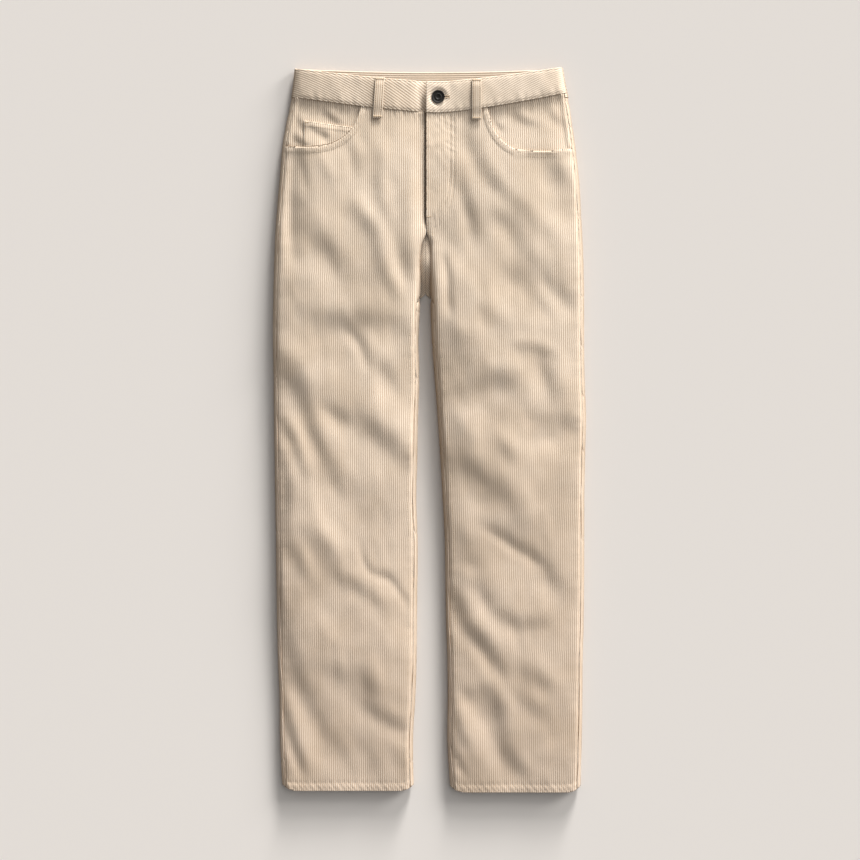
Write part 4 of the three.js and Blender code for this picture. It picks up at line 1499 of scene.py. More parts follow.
    def section(self, y: float) -> tuple[Array, float]:
        """Return the section's points at a level, and x of its grain line."""
        outer, inner = (float(v) for v in self.edges(y))
        x = np.linspace(min(outer, inner), max(outer, inner), 300)
        middle = self.grain_x[0]
        if self.half is Half.LEFT:
            middle = self.grain_x[1] + self.grain_lean * float(np.clip((195 - y) / 735, 0, 1))
        return np.stack((x, self.height(x, np.full_like(x, y))), axis=1), middle

    def build(self, wardrobe: Wardrobe) -> bpy.types.Object:
        """Make the panel with its wales."""
        form = self.form
        low = float(form.outline.hem(self.half, 0.0))
        levels = row_levels(
            (low - 4.0, low + 14.0, self.fine), (low + 14.0, self.fine_from, self.coarse),
            (self.fine_from, self.rows_end, self.fine),
        )
        weave = Weave.of_sections(
            levels, self.section, WALE / 3,
            lambda x: form.outline.hem(self.half, x), self.upper_edge,
        )
        mouth = distance_to(self.mouth(), weave.points[..., 0], weave.points[..., 1])
        wales = mix(0.6 * form.pile, wale_height(weave.grain, form.pile), smooth(mouth, 0.5, 3.5))
        node = f"front_{self.half.word}"
        piece = cloth_wall(f"{node}_cloth", weave, form.pile, form.cloth, wales)
        return wardrobe.finish(piece, wardrobe.cloth, [node])

    def sew(self, stitches: Stitching) -> None:
        """Sew the panel's topstitching.

        Args:
            stitches: the stitches that it joins.
        """
        line, out = self.form.outline, self.half.out
        mouth = [p for p in self.mouth() if abs(p[0]) < 214 and p[1] < 484]
        for offset in (3.8, self.mouth_band):
            stitches.along(beside(mouth, offset * out), self.face)
        low = float(line.hem(self.half, 0.0))
        outer, inner = (float(v) for v in self.edges(low + 12))
        xs = np.linspace(*sorted((outer - out, inner + out)), 60)
        stitches.along([(x, float(line.hem(self.half, x)) + self.hem) for x in xs], self.face)
        ys = np.linspace(low + 2, line.crotch_back, 120)
        for offset in (2.0, 7.5):
            stitches.along([(float(self.edges(y)[1]) + out * offset, y) for y in ys], self.face)
        if self.half is Half.LEFT:
            for row in self.fly_rows():
                stitches.along(row, self.face)
            stitches.along([(line.fly_edge + 2.2, y) for y in np.linspace(470, 330, 50)], self.face)
            stitches.tack((line.fly_edge + 1.0, line.fly_end + 1), (3, line.fly_end + 2), 1.6, self.face)
            ys = np.linspace(line.fly_end - 6, line.crotch_front - 20, 20)
            for offset in (2.0, 7.0):
                stitches.along([(float(self.edges(y)[1]) + offset, y) for y in ys], self.face)


@dataclass
class Back:
    """Back of one leg, from its waist seam to the hem. It lies on the floor.

    Attributes:
        half: which leg.
        form: the garment's form.
        bulge_height: how far the seat rises between the fronts.
        bulge_width: how wide that rise is.
        seat_slant: slope of the wales beside the seat seam, where the cloth is cut on the bias.
        flat: width and length of its cut in metres; not used.
        area: area of its cut in square metres; not used.
        grain_x: distance of its grain line from the middle of the garment.
        fine: spacing of the rows near the hem and the crotch.
        coarse: spacing of the other rows.
        rows_end: level of the highest row.
    """

    half: Half
    form: Form
    bulge_height: float = 15.5
    bulge_width: float = 22.0
    seat_slant: float = 0.9
    flat: tuple[float, float] = (0.262, 1.04)
    area: float = 0.247
    grain_x: float = 118.0
    fine: float = 3.0
    coarse: float = 9.0
    rows_end: float = 505.0

    def bulge(self, x: Array, y: float) -> Array:
        """Return how far the seat rises between the fronts at the crotch."""
        line = self.form.outline
        along = smooth(y, line.crotch_back, line.crotch_back + 50) * (1.0 - smooth(y, 285.0, 330.0))
        return self.bulge_height * along * bell(x - line.seat_seam, self.bulge_width)

    def section(self, y: float) -> tuple[Array, float]:
        """Return the section's points at a level, and x of its grain line."""
        form, line, out = self.form, self.form.outline, self.half.out
        floor = float(form.underside(y))
        inset = line.seam_inset - line.seam_gap / 2
        outer = form.rolled(float(line.outer(self.half, y)), out, y, floor, inset)
        parted = float(smooth(-y, -line.crotch_back, -line.crotch_back + line.fork_depth))
        lapped = float(line.lapping(y))
        seat = line.seat_seam + out * line.seam_gap / 2
        edge = float(mix(seat, float(line.leg_inner(self.half, y)), parted))
        rolled = form.rolled(edge, -out, y, floor, inset)[::-1]
        stop = edge + out * form.roll
        lying = np.stack((np.linspace(stop, edge, len(rolled)), np.full(len(rolled), floor)), axis=1)
        lying[:, 1] += self.bulge(lying[:, 0], y)
        inner = mix(lying, rolled, lapped)
        flats = np.linspace(outer[-1, 0], stop, 60)[1:-1]
        bottom = np.stack((flats, floor + self.bulge(flats, y)), axis=1)
        points = np.concatenate((outer, bottom, inner))
        points = points if self.half is Half.RIGHT else points[::-1]
        return points, self.grain_x * out

    def build(self, wardrobe: Wardrobe) -> bpy.types.Object:
        """Make the panel with its wales."""
        form, line = self.form, self.form.outline
        low = float(line.hem(self.half, 0.0))
        fork_from, fork_to = line.crotch_back - 56.0, line.crotch_back + 1.0
        levels = row_levels(
            (low - 4.0, low + 14.0, self.fine), (low + 14.0, fork_from, self.coarse),
            (fork_from, fork_to, self.fine), (fork_to, self.rows_end, self.coarse),
        )
        weave = Weave.of_sections(
            levels, self.section, WALE / 3, lambda x: line.hem(self.half, x),
            lambda x: form.waist.back_line(form.waist.back_seam, x) - line.seam_gap,
        )
        x, y = weave.points[..., 0], weave.points[..., 1]
        bias = 1.0 - smooth(np.abs(x - line.seat_seam), 18.0, 26.0)
        bias = bias * smooth(y, line.crotch_back - 12, line.crotch_back - 4) * (1.0 - smooth(y, 310, 330))
        wales = mix(wale_height(weave.grain, form.pile), 0.7 * form.pile, bias)
        weave.grain = weave.grain + self.half.out * self.seat_slant * (y - line.crotch_back) * bias
        half_thick = np.full(wales.shape, form.cloth / 2)
        node = f"back_{self.half.word}"
        piece = wall_mesh(f"{node}_cloth", weave, half_thick - form.pile + wales, half_thick, -1)
        return wardrobe.finish(piece, wardrobe.cloth, [node])


@dataclass
class PocketFacing:
    """Facing that shows in a pocket mouth. It lies below the front."""

    front: Front
    thick: float = 1.3
    bottom: float = 402.0
    layer: float = 0.6
    flat: tuple[float, float] = (0.128, 0.1)
    area: float = 0.0115

    def height(self, x: Array, y: Array) -> Array:
        """Return the height of the cloth's middle."""
        form, line, half = self.front.form, self.front.form.outline, self.front.half
        side = self.front.mouth()[0][1]
        above = smooth(y, side - 3, side + 5)
        outside = np.abs(x - line.outer(half, y))
        sewn = above * (1.0 - smooth(outside, 5.0, 16.0))
        deep = form.cloth / 2 + self.layer + self.thick / 2
        z = form.front(half, x, y) - mix(deep, 0.0, sewn)
        z = z - 0.8 * above * bell(outside - line.seam_inset, 2.0)
        mouth = distance_to(self.front.mouth(), x, y)
        z = z + form.pockets.at(x, y) * smooth(mouth, 1.0, 7.0) * smooth(outside, 4.0, 12.0)
        drop = form.waist.front_seam(x) - y
        tucked = 1.0 - smooth(drop, -2.2, -0.4)
        z = z + 2.3 * fade(drop, 6.0) * smooth(mouth, 2.0, 14.0) - 2.4 * tucked
        z = z + 0.35 * pucker(x + 0.4 * y, 6.6, 3.0) * fade(drop, 2.6)
        return z + 0.3 * pucker(x, 15.0, 7.0) * fade(drop, 14.0)

    def face(self, x: Array, y: Array) -> Array:
        """Return the height of the cloth's face."""
        return self.height(x, y) + self.thick / 2

    def section(self, y: float) -> tuple[Array, float]:
        """Return the section's points at a level, and x of its grain line."""
        line, half = self.front.form.outline, self.front.half
        waist = self.front.mouth()[-1][0]
        above = float(smooth(y, self.front.mouth()[0][1] - 3, self.front.mouth()[0][1] + 3))
        outer = float(line.outer(half, y)) - half.out * (line.seam_inset + mix(2.5, 0.2, above))
        inner = waist - half.out * 8
        x = np.linspace(min(outer, inner), max(outer, inner), 150)
        return np.stack((x, self.height(x, np.full_like(x, y))), axis=1), (waist + half.out * 40)

    def build(self, wardrobe: Wardrobe) -> bpy.types.Object:
        """Make the facing with its wales."""
        form, half = self.front.form, self.front.half
        weave = Weave.of_sections(
            row_levels((self.bottom, 513.0, 2.6)), self.section, WALE / 4,
            lambda x: np.full(np.shape(x), self.bottom + 0.01),
            lambda x: form.waist.front_seam(x) + self.front.tuck,
        )
        node = f"pocket_facing_{half.word}"
        piece = cloth_wall(f"{node}_cloth", weave, form.pile, self.thick)
        return wardrobe.finish(piece, wardrobe.cloth, [node])


@dataclass
class CoinPocket:
    """Small pocket on the wearer's right facing, its lower end under the pocket mouth."""

    facing: PocketFacing
    left: float = -188.0
    right: float = -104.0
    top: tuple[float, float] = (463.0, 451.0)
    thick: float = 1.3
    layer: float = 0.35
    grain_x: float = -150.0
    flat: tuple[float, float] = (0.084, 0.04)
    area: float = 0.0022

    def upper_edge(self, x: Array) -> Array:
        """Return the level of its hemmed edge."""
        share = (np.asarray(x) - self.left) / (self.right - self.left)
        return mix(self.top[0], self.top[1], share)

    def height(self, x: Array, y: Array) -> Array:
        """Return the height of the cloth's middle."""
        z = self.facing.face(x, y) + self.layer + self.thick / 2
        drop = self.upper_edge(x) - y
        z = z + 0.3 * (1.0 - smooth(drop, 7.0, 9.0)) - 0.4 * bell(drop - 2.0, 0.9)
        return z - 0.6 * bell(x - self.left, 1.5)

    def face(self, x: Array, y: Array) -> Array:
        """Return the height of the cloth's face."""
        return self.height(x, y) + self.thick / 2

    def section(self, y: float) -> tuple[Array, float]:
        """Return the section's points at a level, and x of its grain line."""
        x = np.linspace(self.left, self.right, 110)
        return np.stack((x, self.height(x, np.full_like(x, y))), axis=1), self.grain_x

    def build(self, wardrobe: Wardrobe) -> bpy.types.Object:
        """Make the pocket with its wales."""
        form = self.facing.front.form
        mouth = np.array(self.facing.front.mouth())
        weave = Weave.of_sections(
            row_levels((419.0, 466.0, 1.6)), self.section, WALE / 4,
            lambda x: np.interp(x, mouth[:, 0], mouth[:, 1]) + 0.7, self.upper_edge,
        )
        piece = cloth_wall("coin_pocket_cloth", weave, form.pile, self.thick)
        return wardrobe.finish(
            piece, wardrobe.cloth, ["coin_pocket"]
        )

    def sew(self, stitches: Stitching) -> None:
        """Sew its hem, its side and its bar-tack."""
        for offset in (2.0, 7.0):
            xs = np.linspace(self.left + 1, self.right - 6, 30)
            stitches.along([(x, float(self.upper_edge(x)) - offset) for x in xs], self.face)
        for offset in (1.8, 7.0):
            stitches.along([(self.left + offset, y) for y in np.linspace(461, 426, 12)], self.face)
        stitches.tack((self.left + 1, 460), (self.left + 7, 460), 2.0, self.face)


@dataclass
class FlyShield:
    """Strip behind the fly opening."""

    form: Form
    left: float = -25.0
    right: float = 30.0
    bottom: float = 300.0
    depth: float = 5.0
    thick: float = 1.3
    flat: tuple[float, float] = (0.055, 0.175)

    def section(self, y: float) -> tuple[Array, float]:
        """Return the section's points at a level, and x of its grain line."""
        x = np.linspace(self.left, self.right, 60)
        z = self.form.folds.at(x, np.full_like(x, y)) - self.depth
        return np.stack((x, z), axis=1), 0.0

    def build(self, wardrobe: Wardrobe) -> bpy.types.Object:
        """Make the strip with its wales."""
        form = self.form
        weave = Weave.of_sections(
            row_levels((self.bottom, 480.0, 6.0)), self.section, WALE / 4,
            lambda x: np.full(np.shape(x), self.bottom + 0.01),
            lambda x: form.waist.front_seam(x) - form.outline.seam_gap,
        )
        piece = cloth_wall("fly_shield_cloth", weave, form.pile, self.thick)
        return wardrobe.finish(piece, wardrobe.cloth, ["fly_shield"])


@dataclass
class FrontBand:
    """Front waistband of one half, cut on the bias so that its wales slant.

    Attributes:
        half: which half.
        front: the panel below it.
        slant: slope of its wales in degrees, near the fly and at the outseam.
        spacing: how far apart they are from top to bottom there, in wales.
        proud: how far its middle is above the front's.
        pile: height of its wales.
        flat: width and length of its cut in metres.
        thick: its thickness.
        under_to: x of the end that runs under the other half.
        under_depth: how far that end lies below its face.
        hole: x and y of the buttonhole's outer end, where the button sits.
        hole_length: length of the buttonhole.
        under_button: how far the button presses the band down.
    """

    half: Half
    front: Front
    slant: tuple[float, float]
    spacing: tuple[float, float]
    proud: float
    pile: float
    # flat: width and length of its cut in metres; not used.
    flat: tuple[float, float]
    thick: float = 2.8
    under_to: float = 28.0
    under_depth: float = 3.6
    hole: tuple[float, float] = (13.0, 498.0)
    hole_length: float = 16.0
    under_button: float = 1.55

    def height(self, x: Array, y: Array) -> Array:
        """Return the height of the band's middle."""
        form, line = self.front.form, self.front.form.outline
        x, y = np.asarray(x, dtype=float), np.asarray(y, dtype=float)
        above = form.folds.at(x, y)
        if self.half is Half.LEFT:
            pressed = 1.0 - smooth(np.hypot(x - self.hole[0], y - self.hole[1]), 9.5, 16.0)
            above = above + form.placket(x) - self.under_button * pressed
        else:
            above = above - form.tuck(x)
            above = above - self.under_depth * smooth(x, -22.0, line.fly_edge - self.front.fly_gap)
        rise = y - form.waist.front_seam(x)
        drop = form.waist.front_top(x) - y
        share = np.clip(rise / np.maximum(rise + drop, 1.0), 0.0, 1.0)
        z = above + self.proud + 0.5 * (4 * share * (1 - share)) ** 0.5
        z = z + 0.3 * pucker(x, 19.0, 8.0) * bell(rise - 5.0, 7.0)
        z = z + 0.2 * pucker(x, 26.0, 9.0) * bell(drop - 5.0, 8.0)
        gathers = 0.5 - 0.4 * pucker(x, 6.6, 2.0 + self.half.out)
        z = z - gathers * fade(np.clip(rise, 0, None), 1.6)
        for near in (rise, drop):
            z = z - 0.3 * bell(near - 2.6, 1.2)
        return z

    def face(self, x: Array, y: Array) -> Array:
        """Return the height of the band's face."""
        return self.height(x, y) + self.thick / 2

    def build(self, wardrobe: Wardrobe) -> bpy.types.Object:
        """Make the band with slanted wales, and its buttonhole on the wearer's left."""
        form, line, out = self.front.form, self.front.form.outline, self.half.out
        waist = form.waist
        inner = self.under_to if self.half is Half.RIGHT else line.fly_edge
        columns, rows = 216, 48
        u = np.linspace(0.0, 1.0, columns)[None, :]
        v = edged_shares(rows)[:, None]
        y = mix(490.0, 535.0, v) + 0 * u
        for _ in range(4):
            outer = line.outer(self.half, y) - out * (line.band_inset + line.seam_gap / 2)
            x = mix(outer, inner, u) if self.half is Half.RIGHT else mix(inner, outer, u)
            y = mix(waist.front_seam(x), waist.front_top(x), v)
        points = np.stack((x, y, self.height(x, y)), axis=2)
        across = (y - waist.front_seam(x))
        grain, along = self.bias(x, across)
        weave = Weave.of_grid(points, grain, along)
        if self.half is Half.LEFT:
            self.cut_hole(weave)
        wales = wale_height(weave.grain, self.pile)
        edge = np.minimum(across, waist.front_top(x) - y)
        rounding = edge_rounding(edge, 0.4, 0.04)
        half_thick = self.thick / 2 * rounding
        outward = half_thick + (wales - self.pile / 2) * rounding
        node = f"waistband_front_{self.half.word}"
        piece = wall_mesh(f"{node}_cloth", weave, outward, half_thick)
        # The wearer's left band takes the paler copy of the cloth.
        cloth = wardrobe.cloth if self.half is Half.RIGHT else wardrobe.paler_band
        return wardrobe.finish(piece, cloth, [node])

    def bias(self, x: Array, across: Array) -> tuple[Array, Array]:
        """Return the distance across the wales and along them on the band.

        The wales slope least at the outseam, where the band was pulled round, and lie closer there.

        Args:
            x: places along the band.
            across: distance from the band's seam.

        Returns:
            The two distances at each place.
        """
        places = np.linspace(-240.0, 240.0, 481)
        out = np.clip(places * self.half.out / 200.0, 0.0, 1.0)
        spacing = WALE * mix(self.spacing[0], self.spacing[1], out)
        slope = np.tan(np.radians(mix(self.slant[0], self.slant[1], out**1.5))) * self.half.out
        shift = np.cumsum(slope / spacing) * WALE
        down = WALE * (across - 22.0) / np.interp(x, places, spacing)
        grain = down - np.interp(x, places, shift)
        return grain, x + 0.0 * across

    def cut_hole(self, weave: Weave) -> None:
        """Press the grid down along the buttonhole, so that a slit lies between its lips."""
        x, y = weave.points[..., 0], weave.points[..., 1]
        share = np.clip((x - self.hole[0] + 4.0) / (self.hole_length + 4.0), 0.0, 1.0)
        near = (x > self.hole[0] - 4.0) & (x < self.hole[0] + self.hole_length)
        away = y - self.hole[1]
        sink = 1.6 * near * (4 * share * (1 - share)) ** 0.4 * bell(away, 0.9)
        weave.points[..., 2] -= sink

    def sew(self, stitches: Stitching) -> None:
        """Sew the band's two edges, and the lips of the buttonhole."""
        waist, line = self.front.form.waist, self.front.form.outline
        if self.half is Half.RIGHT:
            span = np.linspace(-199.0, line.fly_edge - 4.0, 90)
        else:
            span = np.linspace(line.fly_edge + 2.5, 197.0, 90)
        for offset in (2.6, -2.6):
            edge = waist.front_seam if offset > 0 else waist.front_top
            stitches.along([(x, float(edge(x)) + offset) for x in span], self.face)
        if self.half is Half.LEFT:
            x = line.fly_edge + 2.6
            low, high = float(waist.front_seam(x)) + 3, float(waist.front_top(x)) - 3
            stitches.along([(x, y) for y in np.linspace(low, high, 12)], self.face)
            for side in (-1, 1):
                y = self.hole[1] + side * 1.5
                stitches.tack((self.hole[0] + 7, y), (self.hole[0] + self.hole_length, y), 1.6, self.face)
            end = self.hole[0] + self.hole_length + 0.8
            stitches.tack((end, self.hole[1] - 2.2), (end, self.hole[1] + 2.2), 1.6, self.face)


@dataclass
class BackBand:
    """Back waistband, in one piece from outseam to outseam, with wales along it."""

    form: Form
    thick: float = 2.8
    rows: int = 56
    flat: tuple[float, float] = (0.44, 0.045)

    def section(self, y: float) -> Array:
        """Return the band's section at a level."""
        form, line = self.form, self.form.outline
        floor = form.under_loops + self.thick / 2
        ends = []
        for half in Half:
            outer = float(line.outer(half, y))
            seam = float(form.waist.front_seam(outer))
            inset = float(mix(line.seam_inset, line.band_inset, smooth(y, seam - 1.5, seam + 0.5)))
            ends.append(form.rolled(outer, half.out, y, floor, inset - line.seam_gap / 2))
        right, left = ends[0], ends[1][::-1]
        flats = np.linspace(right[-1, 0], left[0, 0], 80)[1:-1]
        bottom = np.stack((flats, np.full(len(flats), floor)), axis=1)
        return np.concatenate((right, bottom, left))

    def build(self, wardrobe: Wardrobe) -> bpy.types.Object:
        """Make the band."""
        waist = self.form.waist
        shape = []
        for v in edged_shares(self.rows):
            x = self.section(float(mix(waist.back_seam, waist.back_top, v)))[:, 0]
            y = mix(waist.back_line(waist.back_seam, x), waist.back_line(waist.back_top, x), v)
            line = np.array([self.section(float(level))[k] for k, level in enumerate(y)])
            shape.append(np.column_stack((line[:, 0], y, line[:, 1])))
        points = np.array(shape)
        across = points[..., 1] - waist.back_line(waist.back_seam, points[..., 0])
        run = np.cumsum(np.linalg.norm(np.diff(points, axis=1, prepend=points[:, :1]), axis=2), axis=1)
        weave = Weave.of_grid(points, across, run)
        wales = wale_height(weave.grain, self.form.pile)
        edge = np.minimum(across, waist.back_top - waist.back_seam - across)
        rounding = edge_rounding(edge, 0.4, 0.04)
        half_thick = self.thick / 2 * rounding
        inside = half_thick + (wales - self.form.pile / 2) * rounding
        piece = wall_mesh("waistband_back_cloth", weave, half_thick, inside, -1)
        return wardrobe.finish(piece, wardrobe.cloth, ["waistband_back"])


@dataclass
class BeltLoop:
    """Belt loop: a strip that stands over the waistband, sewn down at both ends.

    Attributes:
        node: the solid that it stands for.
        band: the waistband that it crosses.
        x: its middle.
        lean: how far its top is to the right of its bottom.
        bottom: level of its lower end.
        width: its width.
        length: its length from above.
        thick: its thickness.
        gap: how high its arch stands in the solids. A quarter of that shows in the photo.
        layer: gap between it and what it is sewn to.
        flat: width and length of its cut in metres; not used.
    """

    node: str
    band: FrontBand
    x: float
    lean: float
    bottom: float
    width: float = 14.0
    length: float = 61.0
    thick: float = 1.7
    gap: float = 5.3
    layer: float = 0.6
    flat: tuple[float, float] = (0.014, 0.067)

    def middle(self, v: Array) -> Array:
        """Return the height of the strip's middle at a share of its length."""
        form, front = self.band.front.form, self.band.front
        y = self.bottom + self.length * np.asarray(v)
        x = np.full_like(y, self.x)
        on_band = self.band.proud + self.band.thick / 2 + self.layer + self.thick / 2
        on_front = form.cloth / 2 + self.layer + self.thick / 2
        base = mix(on_front + 0.9, on_band + 0.2, smooth(v, 0.1, 0.34))
        arch = smooth(v, 0.05, 0.5) * smooth(1.0 - np.asarray(v), 0.02, 0.2)
        return form.front(front.half, x, y) + base + 0.25 * (self.gap - self.layer) * arch

    def build(self, wardrobe: Wardrobe) -> bpy.types.Object:
        """Make the strip with its folded edges and wales."""
        columns, rows = 20, 52
        u = np.linspace(-0.5, 0.5, columns)[None, :]
        v = np.linspace(0.0, 1.0, rows)[:, None]
        x = self.x + self.lean * (v - 0.5) + self.width * u
        y = self.bottom + self.length * v + 0 * u
        z = self.middle(v) + 0 * u
        weave = Weave.of_grid(np.stack((x, y, z), axis=2), self.width * u + WALE * 0.5 + 0 * v, y)
        edge = self.width * (0.5 - np.abs(u)) + 0 * v
        rounding = edge_rounding(edge, 1.2, 0.06)
        pile = self.band.front.form.pile
        seam = 0.35 * bell(edge - 2.6, 0.8)
        half_thick = self.thick / 2 * rounding
        wales = (wale_height(weave.grain, pile) - pile / 2 - seam) * rounding
        piece = wall_mesh(f"{self.node}_cloth", weave, half_thick + wales, half_thick)
        return wardrobe.finish(piece, wardrobe.cloth, [self.node])

    def face(self, x: Array, y: Array) -> Array:
        """Return the height of the strip's face."""
        return self.middle((np.asarray(y) - self.bottom) / self.length) + self.thick / 2

    def sew(self, stitches: Stitching) -> None:
        """Sew the strip's edges and the bar-tacks at its ends."""
        for side in (-1, 1):
            off = side * (self.width / 2 - 2.6)
            path = [
                (self.x + self.lean * (v - 0.5) + off, self.bottom + self.length * v)
                for v in np.linspace(0.03, 0.97, 30)
            ]
            stitches.along(path, self.face)
        for v in (0.04, 0.96):
            x = self.x + self.lean * (v - 0.5)
            y = self.bottom + self.length * v
            stitches.tack((x - 6.0, y), (x + 6.0, y), 2.2, self.face)


@dataclass
class BackLoop:
    """Belt loop under the back waistband, pressed flat."""

    node: str
    x: float
    form: Form
    width: float = 14.0
    length: float = 61.0
    thick: float = 1.7
    flat: tuple[float, float] = (0.014, 0.061)

    def build(self, wardrobe: Wardrobe) -> bpy.types.Object:
        """Make the strip with its wales on its underside."""
        waist = self.form.waist
        top = float(waist.back_line(waist.back_top, self.x)) - 1.0
        u = np.linspace(-0.5, 0.5, 20)[None, :]
        v = np.linspace(0.0, 1.0, 30)[:, None]
        x = self.x + self.width * u + 0 * v
        y = top - self.length * (1.0 - v) + 0 * u
        weave = Weave.of_grid(np.stack((x, y, np.full_like(x, self.thick / 2)), axis=2), x - self.x, y)
        half_thick = np.full(x.shape, self.thick / 2)
        wales = wale_height(weave.grain + WALE * 0.5, self.form.pile) - self.form.pile
        piece = wall_mesh(f"{self.node}_cloth", weave, half_thick + wales, half_thick, -1)
        return wardrobe.finish(piece, wardrobe.cloth, [self.node])


@dataclass
class Button:
    """Metal button with a raised rim and a dimple, on a shank through the buttonhole.

    Attributes:
        band: the waistband half with its buttonhole.
        radius: its radius.
        thick: thickness of its plate.
        collar: width of the ring between its edge and the shank.
        underside: share of its radius that the edge keeps below.
        steps: how far each ring of its face is set in from the last, and how far it rises.
    """

    band: FrontBand
    radius: float = 10.0
    thick: float = 2.0
    collar: float = 7.0
    underside: float = 0.92
    steps: tuple[tuple[float, float], ...] = (
        (0.6, 0.0), (1.5, -0.15), (0.9, -0.65), (1.6, -0.1), (0.7, 0.5), (1.2, -0.1), (0.5, -0.7),
        (1.3, -0.2),
    )

    def build(self, wardrobe: Wardrobe) -> bpy.types.Object:
        """Model the button from a cylinder, and finish it."""
        x, y = self.band.hole
        low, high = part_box("button")
        top, bottom = high[2], high[2] - self.thick * MM
        bpy.ops.object.select_all(action="DESELECT")
        bpy.ops.mesh.primitive_cylinder_add(
            vertices=48, radius=self.radius * MM, depth=self.thick * MM,
            location=(x * MM, (y + SHIFT_Y) * MM, (top + bottom) / 2),
        )
        piece = bpy.context.object
        piece.name = "button_metal"
        bpy.ops.object.transform_apply(location=True, rotation=True, scale=True)
        bpy.ops.object.mode_set(mode="EDIT")
        self.shape(piece, (x * MM, (y + SHIFT_Y) * MM), top, bottom, low[2])
        bpy.ops.object.mode_set(mode="OBJECT")
        bevel = piece.modifiers.new("rim", "BEVEL")
        bevel.width = 0.3 * MM
        bevel.segments = 3
        bevel.limit_method = "ANGLE"
        bevel.angle_limit = math.radians(40)
        bpy.ops.object.modifier_apply(modifier=bevel.name)
        bpy.ops.object.shade_smooth_by_angle(angle=math.radians(50))
        piece.select_set(False)
        return wardrobe.finish(piece, wardrobe.metal, ["button"])

    def shape(
        self,
        piece: bpy.types.Object,
        middle: tuple[float, float],
        top: float,
        bottom: float,
        foot: float,
    ) -> None:
        """Draw the rim, the dish, the dimple and the shank out of the cylinder's two ends.

        Args:
            piece: the cylinder, in edit mode.
            middle: x and y of its axis.
            top: height of its upper end.
            bottom: height of its lower end.
            foot: height of the shank's lower end.
        """

        def pick(level: float) -> None:
            """Select the end face at a level."""
            mesh = bmesh.from_edit_mesh(piece.data)
            for item in mesh.faces:
                item.select = False
            for item in mesh.faces:
                flat = abs(item.normal.z) > 0.9 and len(item.verts) > 8
                item.select = flat and abs(item.calc_center_median().z - level) < 0.02 * MM
            bmesh.update_edit_mesh(piece.data)

        def draw(inset: float, move: float) -> None:
            """Inset the selected face and move it up."""
            bpy.ops.mesh.inset(thickness=inset * MM, depth=0.0)
            bpy.ops.transform.translate(value=(0.0, 0.0, move * MM))

        bpy.ops.mesh.select_mode(type="FACE")
        pick(top)
        for inset, move in self.steps:
            draw(inset, move)
        pick(bottom)
        bpy.ops.mesh.inset(thickness=self.collar * MM, depth=0.0)
        bpy.ops.mesh.extrude_region_move(
            TRANSFORM_OT_translate={"value": (0.0, 0.0, foot - bottom)}
        )
        mesh = bmesh.from_edit_mesh(piece.data)
        for vert in mesh.verts:
            if abs(vert.co.z - bottom) < 0.02 * MM and (vert.co.xy - Vector(middle)).length > 9.5 * MM:
                vert.co.xy = Vector(middle) + (vert.co.xy - Vector(middle)) * self.underside
        bmesh.update_edit_mesh(piece.data)


@dataclass(frozen=True)
class Key:
    """One band of the tall soft light.

    Attributes:
        elevation: its height over the horizon in degrees.
        azimuth: its direction in degrees, turned from X towards Y.
        share: its share of the floor's light.
        softness: how wide it looks from the floor, in degrees.
    """

    elevation: float
    azimuth: float
    share: float
    softness: float


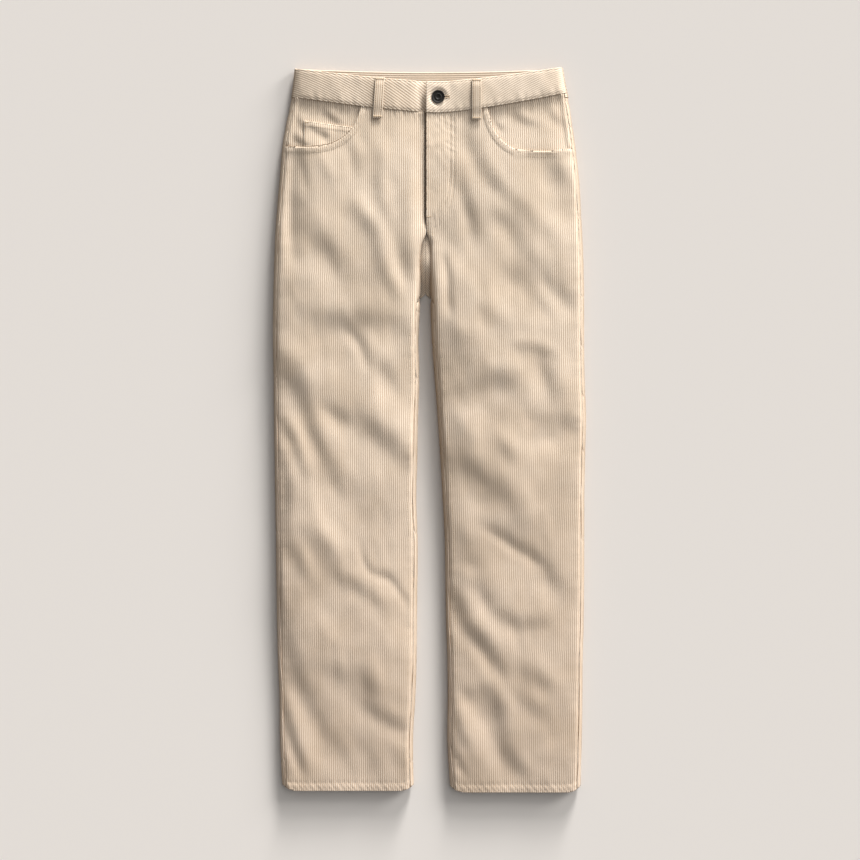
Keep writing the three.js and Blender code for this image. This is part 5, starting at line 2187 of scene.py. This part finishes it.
@dataclass
class Studio:
    """Plain pale floor, soft light from the upper right and a camera straight above."""

    floor_colour: tuple[float, float, float] = (0.814, 0.775, 0.738)
    floor_level: float = -0.0002
    frame_width: float = 1.29
    lens: float = 100.0
    sensor: float = 36.0
    middle: tuple[float, float] = (0.00075, 0.00008)
    level: float = 0.012
    sky: float = 0.26
    keys: tuple[Key, ...] = (
        Key(elevation=16.0, azimuth=36.0, share=0.18, softness=22.0),
        Key(elevation=13.0, azimuth=72.0, share=0.22, softness=14.0),
        Key(elevation=8.0, azimuth=76.0, share=0.15, softness=10.0),
        Key(elevation=36.0, azimuth=35.0, share=0.13, softness=75.0),
    )

    def floor(self) -> None:
        """Lay the floor."""
        bpy.ops.object.select_all(action="DESELECT")
        bpy.ops.mesh.primitive_plane_add(size=14.0, location=(0.0, 0.0, self.floor_level))
        plane = bpy.context.object
        plane.name = "floor"
        made = bpy.data.materials.new("pale_floor")
        made.use_nodes = True
        shader = made.node_tree.nodes["Principled BSDF"]
        shader.inputs["Base Color"].default_value = (*self.floor_colour, 1.0)
        shader.inputs["Roughness"].default_value = 0.95
        shader.inputs["Specular IOR Level"].default_value = 0.1
        plane.data.materials.append(made)

    def lights(self) -> None:
        """Set the tall soft light at the upper right, band by band, and the sky."""
        for number, key in enumerate(self.keys, 1):
            lamp = bpy.data.lights.new(f"key_{number}", "SUN")
            height, turn = math.radians(key.elevation), math.radians(key.azimuth)
            lamp.energy = math.pi * key.share / math.sin(height)
            lamp.angle = math.radians(key.softness)
            lamp.color = (1.0, 0.985, 0.965)
            sun = bpy.data.objects.new(f"key_{number}", lamp)
            bpy.context.scene.collection.objects.link(sun)
            way = Vector((
                math.cos(height) * math.cos(turn),
                math.cos(height) * math.sin(turn),
                math.sin(height),
            ))
            sun.location = way * 4.0
            sun.rotation_euler = way.to_track_quat("Z", "Y").to_euler()
        world = bpy.data.worlds.new("sky")
        world.use_nodes = True
        ground = world.node_tree.nodes["Background"]
        ground.inputs["Color"].default_value = (1.0, 0.99, 0.98, 1.0)
        ground.inputs["Strength"].default_value = self.sky
        bpy.context.scene.world = world
        bpy.context.scene.view_settings.view_transform = "Standard"

    def camera(self) -> None:
        """Set the camera straight above, so that its picture is frame_width across."""
        data = bpy.data.cameras.new("camera")
        data.lens = self.lens
        data.sensor_width = self.sensor
        camera = bpy.data.objects.new("camera", data)
        bpy.context.scene.collection.objects.link(camera)
        height = self.level + self.frame_width * self.lens / self.sensor
        camera.location = (*self.middle, height)
        bpy.context.scene.camera = camera


def main() -> None:
    """Dress the trousers and set the studio."""
    logging.basicConfig(level=logging.INFO, format="%(name)s: %(message)s")
    studio = Studio()
    studio.camera()
    studio.lights()
    studio.floor()
    wardrobe = Wardrobe()
    form = Form()
    panel_stitches, trim_stitches = Stitching(), Stitching()
    fronts = {half: Front(half, form) for half in Half}
    bands = {
        Half.RIGHT: FrontBand(
            Half.RIGHT, fronts[Half.RIGHT], slant=(34.0, 14.0), spacing=(1.5, 1.0), proud=0.9,
            pile=0.68, flat=(0.235, 0.044),
        ),
        Half.LEFT: FrontBand(
            Half.LEFT, fronts[Half.LEFT], slant=(36.0, 10.0), spacing=(1.3, 0.95), proud=1.3,
            pile=0.48, flat=(0.211, 0.044),
        ),
    }
    facings = {half: PocketFacing(fronts[half]) for half in Half}
    for half in Half:
        fronts[half].build(wardrobe)
        fronts[half].sew(panel_stitches)
        Back(half, form).build(wardrobe)
        facings[half].build(wardrobe)
        bands[half].build(wardrobe)
        bands[half].sew(trim_stitches)
    coin = CoinPocket(facings[Half.RIGHT])
    coin.build(wardrobe)
    coin.sew(trim_stitches)
    FlyShield(form).build(wardrobe)
    BackBand(form).build(wardrobe)
    for loop in (
        BeltLoop("belt_loop_front_right", bands[Half.RIGHT], x=-76.0, lean=4.0, bottom=466.0),
        BeltLoop("belt_loop_front_left", bands[Half.LEFT], x=70.5, lean=0.0, bottom=464.0),
    ):
        loop.build(wardrobe)
        loop.sew(trim_stitches)
    for k, x in enumerate((-150.0, 0.0, 150.0), 1):
        BackLoop(f"belt_loop_back_{k}", x, form).build(wardrobe)
    Button(bands[Half.LEFT]).build(wardrobe)
    wardrobe.finish(panel_stitches.mesh("panel_stitches"), wardrobe.thread)
    wardrobe.finish(trim_stitches.mesh("trim_stitches"), wardrobe.thread)


if __name__ == "__main__":
    main()
